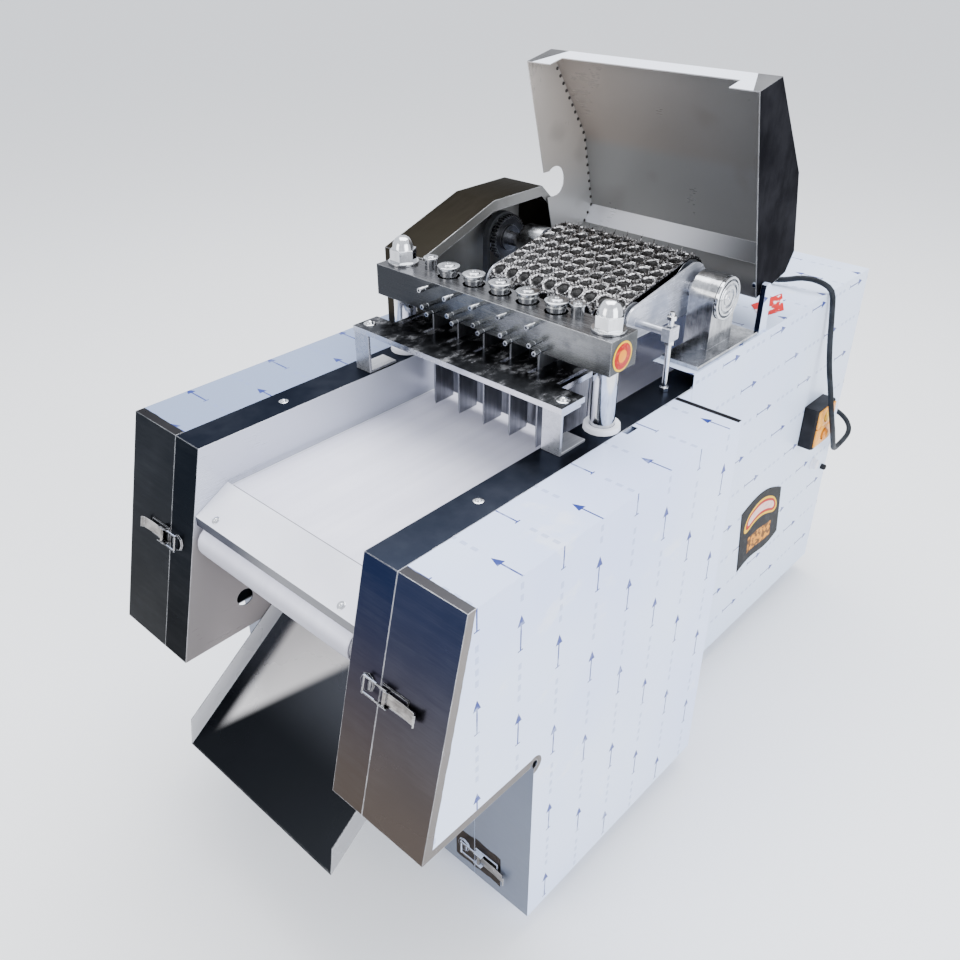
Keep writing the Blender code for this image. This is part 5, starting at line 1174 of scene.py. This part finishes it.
def mat_loop(share):
    """Place and outward direction along the loop: two arcs joined by the rollers' outer tangents."""
    (u1, v1, r1), (u2, v2, r2) = NOSE_ROLLER, DRUM
    apart = math.hypot(u2 - u1, v2 - v1)
    heading, lean = math.atan2(v2 - v1, u2 - u1), math.asin((r2 - r1) / apart)
    straight = math.sqrt(apart ** 2 - (r2 - r1) ** 2)
    top, low = heading + math.pi / 2 + lean, heading - math.pi / 2 - lean
    ends = np.cumsum([straight, r2 * (math.pi + 2 * lean), straight, r1 * (math.pi - 2 * lean)])
    way = (np.asarray(share, float) % 1.0) * ends[-1]
    parts = [way < ends[0], way < ends[1], way < ends[2]]
    angle = np.select(
        parts, [top + way * 0, top - (way - ends[0]) / r2, low + way * 0], low - (way - ends[2]) / r1,
    )
    out = np.stack([np.cos(angle), np.sin(angle)], axis=-1)
    run = np.stack([out[..., 1], -out[..., 0]], axis=-1)
    front, rear = np.array([u1, v1]), np.array([u2, v2])
    spots = [
        front + r1 * out + way[..., None] * run, rear + r2 * out,
        rear + r2 * out + (way - ends[1])[..., None] * run,
    ]
    place = np.select([part[..., None] for part in parts], spots, front + r1 * out)
    return place, out, run, float(ends[-1])


MAT_LENGTH = mat_loop(np.zeros(1))[3]
print("mat loop:", round(MAT_LENGTH, 4), "m; a hole every", round(1000 * MAT_LENGTH / HOLES_ALONG, 1), "mm")

# %% [markdown]
# Each hole is pressed through the sheet, so it has a steep wall and a raised rim. More than two hundred
# boolean cuts would be slow and leave poor edges. Instead the height over the loop is one formula of
# the distance from the nearest hole's middle, worked out for the whole grid at once.

# %% Mat surface
HOLE_EDGE, HOLE_SLOPE, HOLE_FLOOR = 0.0102, 0.0018, 0.0003
RIM_RADIUS, RIM_WIDTH, RIM_HEIGHT = 0.0108, 0.0009, 0.0011
STEPS_PER_HOLE = 14


def mat_surface():
    """Height = thickness + rim - pit, both functions of the distance from the nearest hole's middle."""
    rows, columns = HOLES_ALONG * STEPS_PER_HOLE, HOLES_ACROSS * STEPS_PER_HOLE + 1
    along, across = np.meshgrid(np.arange(rows) / rows, np.linspace(-1, 1, columns), indexing="ij")
    place, out, _, length = mat_loop(along)
    du = ((along * HOLES_ALONG) % 1.0 - 0.5) * length / HOLES_ALONG
    dv = (((across + 1) / 2 * HOLES_ACROSS) % 1.0 - 0.5) * 2 * MAT_HALF / HOLES_ACROSS
    from_middle = np.hypot(du, dv)
    pit = np.clip((HOLE_EDGE - from_middle) / HOLE_SLOPE, 0.0, 1.0)
    pit = pit * pit * (3 - 2 * pit)
    rim = np.exp(-(((from_middle - RIM_RADIUS) / RIM_WIDTH) ** 2))
    height = MAT_THICK + RIM_HEIGHT * rim - pit * (MAT_THICK - HOLE_FLOOR)
    flat, edge = np.zeros((rows, 2)), np.ones((rows, 1))
    height, hole = np.append(height, flat, axis=1), np.append(pit - rim * (1 - pit), flat, axis=1)
    x = np.concatenate([across, edge, -edge], axis=1) * MAT_HALF
    place, out = (np.append(part, part[:, :2], axis=1) for part in (place, out))
    yz = place + out * height[..., None]
    points = np.stack([x, FRONT_Y + yz[..., 0], TOP_Z + yz[..., 1]], axis=-1)
    return points, grid_faces(rows, columns + 2, True, True), hole


print("holes in the mat:", HOLES_ALONG * HOLES_ACROSS)

# %% [markdown]
# Between the holes stand short claws, with a long pin at each crossing. There are so many that each one
# is a cone of a few faces. One array holds them all: every kind of claw at every crossing.

# %% Mat claws
CLAW_KINDS = np.array([
    (0.0, 0.0, 0.0120, 0.0009), (0.16, 0.16, 0.0050, 0.0013), (-0.16, 0.16, 0.0050, 0.0013),
    (0.16, -0.16, 0.0050, 0.0013), (-0.16, -0.16, 0.0050, 0.0013), (0.0, 0.30, 0.0042, 0.0010),
    (0.30, 0.0, 0.0042, 0.0010), (0.0, -0.30, 0.0042, 0.0010),
])
CLAW_LEVELS = np.array([(0.0, 0.0), (0.0, 1.0), (0.6, 0.65), (1.0, 0.0)])
CLAW_SIDES = 5


def claws():
    """
    Cones on the sheet: a long pin at each crossing between holes and short claws round it, each kind
    given by its shift along and across in holes, its height and its radius. They bend by a sine.
    """
    crossings = np.meshgrid(np.arange(HOLES_ALONG), np.arange(HOLES_ACROSS + 1), indexing="ij")
    row, column = (
        (part.ravel()[:, None] + shift).ravel() for part, shift in zip(crossings, CLAW_KINDS[:, :2].T)
    )
    inside = (column > 0.08) & (column < HOLES_ACROSS - 0.08)
    tall, thick = (np.tile(part, len(inside) // len(CLAW_KINDS))[inside] for part in CLAW_KINDS[:, 2:].T)
    row, column = row[inside], column[inside]
    tall = tall * (1.0 + 0.25 * np.sin(12.9 * row + 7.3 * column))
    place, out, run, _ = mat_loop(row / HOLES_ALONG)
    ring = round_outline(1.0, CLAW_SIDES)
    rise = tall[:, None] * CLAW_LEVELS[:, 0]
    height = MAT_THICK - 0.0006 + rise
    bend = rise ** 2 * 22 * np.sin(5.1 * row + 3.7 * column)[:, None]
    radius = thick[:, None] * CLAW_LEVELS[:, 1]
    sideways = radius[..., None] * ring[:, 0] + bend[..., None]
    spine = place[:, None, None] + out[:, None, None] * height[..., None, None]
    yz = spine + run[:, None, None] * sideways[..., None]
    x = ((column / HOLES_ACROSS) * 2 - 1)[:, None, None] * MAT_HALF + radius[..., None] * ring[:, 1]
    points = np.stack([x, FRONT_Y + yz[..., 0], TOP_Z + yz[..., 1]], axis=-1)
    one = grid_faces(len(CLAW_LEVELS), CLAW_SIDES, close_columns=True)
    starts = np.arange(len(row))[:, None, None] * len(CLAW_LEVELS) * CLAW_SIDES
    return points, (one + starts).reshape(-1, 4)


print("kinds of claw:", len(CLAW_KINDS))

# %% [markdown]
# The rims are worn bright, and the holes look black, because little light comes back out of them. The
# surface keeps an attribute that says where a hole or a rim is, so the finish follows the shape.

# %% Mat pieces


def mat_material():
    """Worn steel, bright on the rims and painted black as shade in the holes: the piece's own attribute is -1
    and 1 there.
    """
    graph = Finish("mat_steel")
    hole = graph.value("ShaderNodeAttribute", output="Fac", attribute_name="hole")
    speck, patch = graph.noise(graph.place, 230.0, 3.0, 0.7), graph.noise(graph.place, 60.0)
    # Painted shade: the holes are painted near black.
    dark = graph.ramp(hole, 0.10, 0.60)
    colour = graph.layers(
        (0.022, 0.021, 0.021),
        (graph.ramp(speck, 0.44, 0.68), (0.66, 0.65, 0.66)),
        (graph.ramp(patch, 0.44, 0.66, 0.0, 0.6), (0.060, 0.055, 0.053)),
        (graph.ramp(hole, -0.15, -0.75) * graph.ramp(speck, 0.40, 0.58, 0.12, 0.90), (0.80, 0.79, 0.80)),
        (dark, (0.003, 0.0028, 0.0028)),
    )
    rough, relief = graph.spread(speck, 0.16, 0.34), (speck, 0.6, 0.0012)
    return graph.done(colour, rough, relief, 1.0 - dark, {"Specular IOR Level": 0.15})


MAT_STEEL = mat_material()
points, faces, hole = mat_surface()
mat = new_piece(
    "press_mat_sheet", points, faces, MAT_STEEL, "press_conveyor", "spiked_mat_steel", smooth=60.0,
)
own = mat.data.attributes.new("hole", "FLOAT", "POINT")
own.data.foreach_set("value", hole.ravel().astype(np.float32))
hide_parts("press_mat")
points, faces = claws()
new_piece("press_mat_claws", points, faces, MAT_STEEL, "press_conveyor", "spiked_mat_steel", smooth=30.0)
faces_each = (len(CLAW_LEVELS) - 1) * CLAW_SIDES
print("mat:", len(mat.data.polygons), "faces; claws:", len(faces) // faces_each)

# %% [markdown]
# ## Bearing, gear and shaft end
# The press shaft ends in a ball bearing in the right block: rings of different radius and depth
# catch the light one after another. On the left end, in the guard, a fine gear sits behind the
# sprocket. Its radius is a rounded square wave of the angle, which makes forty even teeth.

# %% Bearing and gear
SHAFT_BACK, SHAFT_UP = 0.700, 0.101
OUTER_RACE = [
    (0.0, 0.0335), (0.0040, 0.0335), (0.0048, 0.0325), (0.0048, 0.0300), (0.0030, 0.0292), (0.0, 0.0292),
]
SEAL = [
    (0.0, 0.0270), (0.0050, 0.0270), (0.0056, 0.0262), (0.0056, 0.0236), (0.0034, 0.0228), (0.0, 0.0228),
]
INNER_RACE = [
    (0.0, 0.0205), (0.0058, 0.0205), (0.0066, 0.0196), (0.0066, 0.0150), (0.0040, 0.0146),
    (0.0040, 0.0108), (0.0056, 0.0104), (0.0062, 0.0096), (0.0062, 0.0034), (0.0046, 0.0028),
]
COLLAR = [
    (-0.0160, 0.0130), (-0.0160, 0.0222), (-0.0150, 0.0236), (0.0090, 0.0236), (0.0100, 0.0224),
    (0.0100, 0.0130),
]
TEETH, TOOTH_DEPTH, TOOTH_RADIUS, STEPS_PER_TOOTH = 40, 0.0034, 0.0385, 6


def on_shaft(x, profile, count=48, ring=True):
    """A profile turned about the press shaft's own axis."""
    return turned(at(x, SHAFT_BACK, SHAFT_UP), "right", profile, count, ring)


def gear_loops():
    """Rim: radius + depth * tanh(3 sin(teeth * angle)) / 2, a square wave with soft corners."""
    angle, unit = directions(TEETH * STEPS_PER_TOOTH)
    tooth = (TOOTH_RADIUS + TOOTH_DEPTH * np.tanh(3 * np.sin(TEETH * angle)) / 2)[:, None] * unit
    web, step, hub, bore = (radius * unit for radius in (0.0355, 0.0340, 0.0225, 0.0125))
    return [
        (bore, -0.0002), (web, 0.0), (tooth * 0.985, 0.0), (tooth, 0.0008), (tooth, 0.0092),
        (tooth * 0.985, 0.0100), (web, 0.0100), (step, 0.0084), (hub, 0.0084), (hub * 0.97, 0.0130),
        (bore, 0.0130),
    ]


races = [on_shaft(0.1935, profile) for profile in (OUTER_RACE, SEAL)]
new_piece("bearing_outer_rings", *joined(races), POLISHED, "machine_frame", "polished_steel")
inner = on_shaft(0.1922, INNER_RACE, 40, ring=False)
new_piece("bearing_inner_ring", *inner, POLISHED, "press_shaft", "polished_steel")
new_piece("press_shaft_collar", *on_shaft(-0.1560, COLLAR), PRESS_STEEL, "press_shaft", "polished_steel")
gear = stacked(at(-0.2440, SHAFT_BACK, SHAFT_UP), "right", gear_loops(), ring=True)
new_piece("shaft_gear", *gear, GEAR_STEEL, "press_shaft", "dark_steel")
print("gear:", len(gear[1]), "faces")

# %% [markdown]
# ## Tack welds in the hood
# The hood's end plates are held to the shell by a row of small welds, dark dots along the joint. The
# joint is a bent line, and the dots are spread evenly over its length by interpolation. The same row
# is on the right end, which is hidden from the front.

# %% Tack welds
JOINT = np.array([(0.7700, 0.3790), (0.8587, 0.2552), (0.8915, 0.1277), (0.8710, 0.0975)])
WELD = np.array([(-0.0006, 0.0030), (0.0008, 0.0028), (0.0018, 0.0019), (0.0022, 0.0008)])
WELD_COUNT = 21
END_PLATE_X = 0.2000
steps = np.append(0.0, np.cumsum(np.linalg.norm(np.diff(JOINT, axis=0), axis=1)))
spots = np.linspace(0.006, steps[-1] - 0.004, WELD_COUNT)
weld_back, weld_up = (np.interp(spots, steps, part) for part in JOINT.T)
welds = [
    turned(at(-END_PLATE_X * inward, back - 0.0016, up), "right", WELD * (inward, 1), 10)
    for inward in (1, -1)
    for back, up in zip(weld_back, weld_up)
]
WELD_DARK = plain("weld_scale", (0.020, 0.018, 0.017), (0.070, 0.062, 0.058), 0.55, 120.0, 900.0, 0.4)
new_piece("hood_tack_welds", *joined(welds), WELD_DARK, "hood", "dark_steel")
print("tack welds:", len(welds))

# %% [markdown]
# ## Stickers, label plate and switch face
# These are thin sheets on a face. Each one is a grid over its own two shares, and the shares are kept
# on the mesh as an attribute, so that the material can draw rings and bands on it. The marks are
# plain shapes: a ring, an arch and a block, with no lettering.

# %% Sheet pieces
SHEET_STEPS = 24


def sheet_piece(name, corners, facing, thick, body, material, bulge=(0.0, 0.0)):
    """Thin sheet: four corners blended by two shares, with its top and bottom edges bent by a sine."""
    u, v = np.meshgrid(*[np.linspace(0, 1, SHEET_STEPS)] * 2, indexing="ij")
    low_left, low_right, high_right, high_left = (np.array(at(*corner)) for corner in corners)
    low = low_left + u[..., None] * (low_right - low_left)
    high = high_left + u[..., None] * (high_right - high_left)
    low = low + np.sin(2 * math.pi * u)[..., None] * bulge[0] * np.array((0, 0, 1))
    high = high + np.sin(math.pi * u)[..., None] * bulge[1] * np.array((0, 0, 1))
    face = low + v[..., None] * (high - low)
    outward = np.array(AXES[facing][2], float)
    count = SHEET_STEPS * SHEET_STEPS
    points = np.concatenate([(face + outward * thick).reshape(-1, 3), face.reshape(-1, 3)])
    top = grid_faces(SHEET_STEPS, SHEET_STEPS)
    back_again = np.arange(SHEET_STEPS - 2, -1, -1)
    right_side = np.arange(1, SHEET_STEPS) * SHEET_STEPS + SHEET_STEPS - 1
    left_side = back_again[:-1] * SHEET_STEPS
    edge = np.concatenate([np.arange(SHEET_STEPS), right_side, count - SHEET_STEPS + back_again, left_side])
    ahead = np.roll(edge, -1)
    walls = np.stack([edge, ahead, ahead + count, edge + count], axis=1)
    made = new_piece(name, points, np.concatenate([top, top[:, ::-1] + count, walls]), material, body)
    share = np.stack([u, v, v * 0], axis=-1).reshape(-1, 3)
    own = made.data.attributes.new("share", "FLOAT_VECTOR", "POINT")
    own.data.foreach_set("vector", np.concatenate([share, share]).astype(np.float32).ravel())
    return made


def sheet_material(name, draw):
    """A printed sheet: its colour is drawn from the piece's own shares, and it is slightly uneven."""
    graph = Finish(name)
    u, v, _ = graph.parts(graph.value("ShaderNodeAttribute", output="Vector", attribute_name="share"))
    patch = graph.noise(graph.place, 90.0, 3.0)
    faded = graph.mix(graph.ramp(patch, 0.45, 0.80, 0.0, 0.22), draw(graph, u, v), (0.10, 0.09, 0.085))
    rough, relief = graph.spread(patch, 0.34, 0.48), (patch, 0.15, 0.0008)
    return graph.done(faded, rough, relief, others={"Specular IOR Level": 0.06})


def band(graph, value, middle, half):
    """1 where a value is nearer than half to the middle, with a soft edge."""
    return graph.ramp(abs(value - middle), half, half * 0.88)


print("a sheet has", SHEET_STEPS * SHEET_STEPS, "points on each side")

# %% [markdown]
# The label plate is a thin black sheet on the cabinet's side, slightly slanted and bent at its top. Its
# print could be a picture file, but shapes that are drawn from distances stay sharp at any size.

# %% Label plate


def label_colours(graph, u, v):
    """Black plate: a bent bar with round ends in yellow, red and white, over a mottled orange block."""
    aside = u - 0.50
    height = v + aside ** 2.0 * 0.60 - 0.745
    off = graph.length(abs(aside) - 0.27 | 0.0, height)
    mottle = graph.ramp(graph.noise(graph.join(u, v), 14.0), 0.46, 0.54, 0.0, 0.85)
    orange = graph.mix(mottle, (0.68, 0.26, 0.012), (0.05, 0.018, 0.004))
    return graph.layers(
        (0.0035, 0.0035, 0.0042),
        (graph.ramp(off, 0.150, 0.140), (0.78, 0.46, 0.008)),
        (graph.ramp(off, 0.112, 0.104), (0.42, 0.008, 0.005)),
        (graph.ramp(off, 0.070, 0.058), (0.80, 0.50, 0.46)),
        (band(graph, u, 0.50, 0.31) * band(graph, v, 0.27, 0.14), orange),
    )


PANEL_X = 0.2171
LABEL_PLACES = [(0.858, -0.494), (1.011, -0.476), (0.991, -0.362), (0.836, -0.350)]
label = sheet_piece(
    "label_plate", [(PANEL_X, *place) for place in LABEL_PLACES], "right", 0.0012, "machine_frame",
    sheet_material("label_print", label_colours), (0.006, 0.020),
)
print("label plate:", len(label.data.polygons), "faces")

# %% [markdown]
# A round sticker sits on the head's right end. It is a very flat turned disc, and its coloured rings
# come from the distance to its own centre.

# %% Ring sticker
STICKER_BACK, STICKER_UP = 0.3975, 0.116


def ring_print():
    """Yellow rim, red band and amber middle, by the distance from the sticker's centre."""
    graph = Finish("ring_sticker_print")
    _, y, z = graph.parts(graph.place)
    far = graph.length(y - (FRONT_Y + STICKER_BACK), z - (TOP_Z + STICKER_UP))
    patch = graph.noise(graph.place, 260.0)
    red = graph.mix(graph.ramp(patch, 0.5, 0.62, 0.0, 0.5), (0.40, 0.012, 0.006), (0.60, 0.10, 0.06))
    colour = graph.layers(
        (0.78, 0.48, 0.01),
        (graph.ramp(far, 0.0182, 0.0176), red), (graph.ramp(far, 0.0094, 0.0078), (0.80, 0.26, 0.006)),
    )
    rough, relief = graph.spread(patch, 0.28, 0.42), (patch, 0.08, 0.0005)
    return graph.done(colour, rough, relief, others={"Specular IOR Level": 0.12})


STICKER = [(0.0, 0.0205), (0.0005, 0.0207), (0.0007, 0.0204)]
sticker = turned(at(0.2168, STICKER_BACK, STICKER_UP), "right", STICKER, 48)
new_piece("ring_sticker", *sticker, ring_print(), "knife_head")
print("ring sticker:", len(sticker[1]), "faces")

# %% [markdown]
# The switch box has an amber face round each of its buttons. A face is a stacked outline that ends in
# a round hole: its rectangle and its circle have equally many points, so one runs into the other. The
# rest of a torn red sticker lies on the deck.

# %% Switch face and torn label
AMBER_FACE = plain("amber_face", (0.76, 0.27, 0.02), (0.92, 0.42, 0.05), 0.40, 60.0, 500.0, 0.06, 0.2)
plate, lid = rounded_outline(0.0335, 0.0190, 0.003, 64), rounded_outline(0.0325, 0.0182, 0.003, 64)
loops = [
    (plate, 0.0), (plate, 0.0024), (lid, 0.0030),
    (round_outline(0.0126, 64), 0.0030), (round_outline(0.0122, 64), 0.0),
]
frames = [stacked(at(0.2451, 1.0675, up), "right", loops, ring=True) for up in (-0.2258, -0.2645)]
new_piece("switch_face", *joined(frames), AMBER_FACE, "machine_frame", "amber_plastic")


def torn_colours(graph, u, v):
    """Red sheet with a pale torn patch."""
    torn = graph.ramp(graph.noise(graph.join(u, v), 3.2, 3.0), 0.52, 0.60)
    return graph.mix(torn, (0.52, 0.008, 0.010), (0.76, 0.77, 0.84))


ON_DECK = DECK_RISE + 0.0003
TORN_PLACES = [(0.144, 0.891), (0.183, 0.850), (0.196, 0.907), (0.158, 0.975)]
sheet_piece(
    "torn_label", [(*place, ON_DECK) for place in TORN_PLACES], "up", 0.0006, "machine_frame",
    sheet_material("torn_print", torn_colours),
)
print("switch face and torn label made")

# %% [markdown]
# A small white gland and a dark nub sit on the cabinet's side, below the switch box. They are turned
# profiles, as the screws are.

# %% Gland on the side
SIDE_GLAND = [
    (-0.0004, 0.0125), (0.0030, 0.0125), (0.0036, 0.0105), (0.0110, 0.0098), (0.0120, 0.0080),
    (0.0125, 0.0050),
]
NUB = [(-0.0004, 0.0060), (0.0080, 0.0060), (0.0095, 0.0045), (0.0100, 0.0020)]
gland = turned(at(PANEL_X, 1.127, -0.370), "right", SIDE_GLAND, 28)
new_piece("side_gland", *gland, WHITE_PLASTIC, "machine_frame", "white_plastic")
nub = turned(at(PANEL_X, 1.182, -0.402), "right", NUB, 20)
new_piece("side_gland_nub", *nub, BLACK_PLASTIC, "machine_frame", "black_plastic")
print("side gland and nub made")

# %% [markdown] The dressed model should be as large as the solid one.
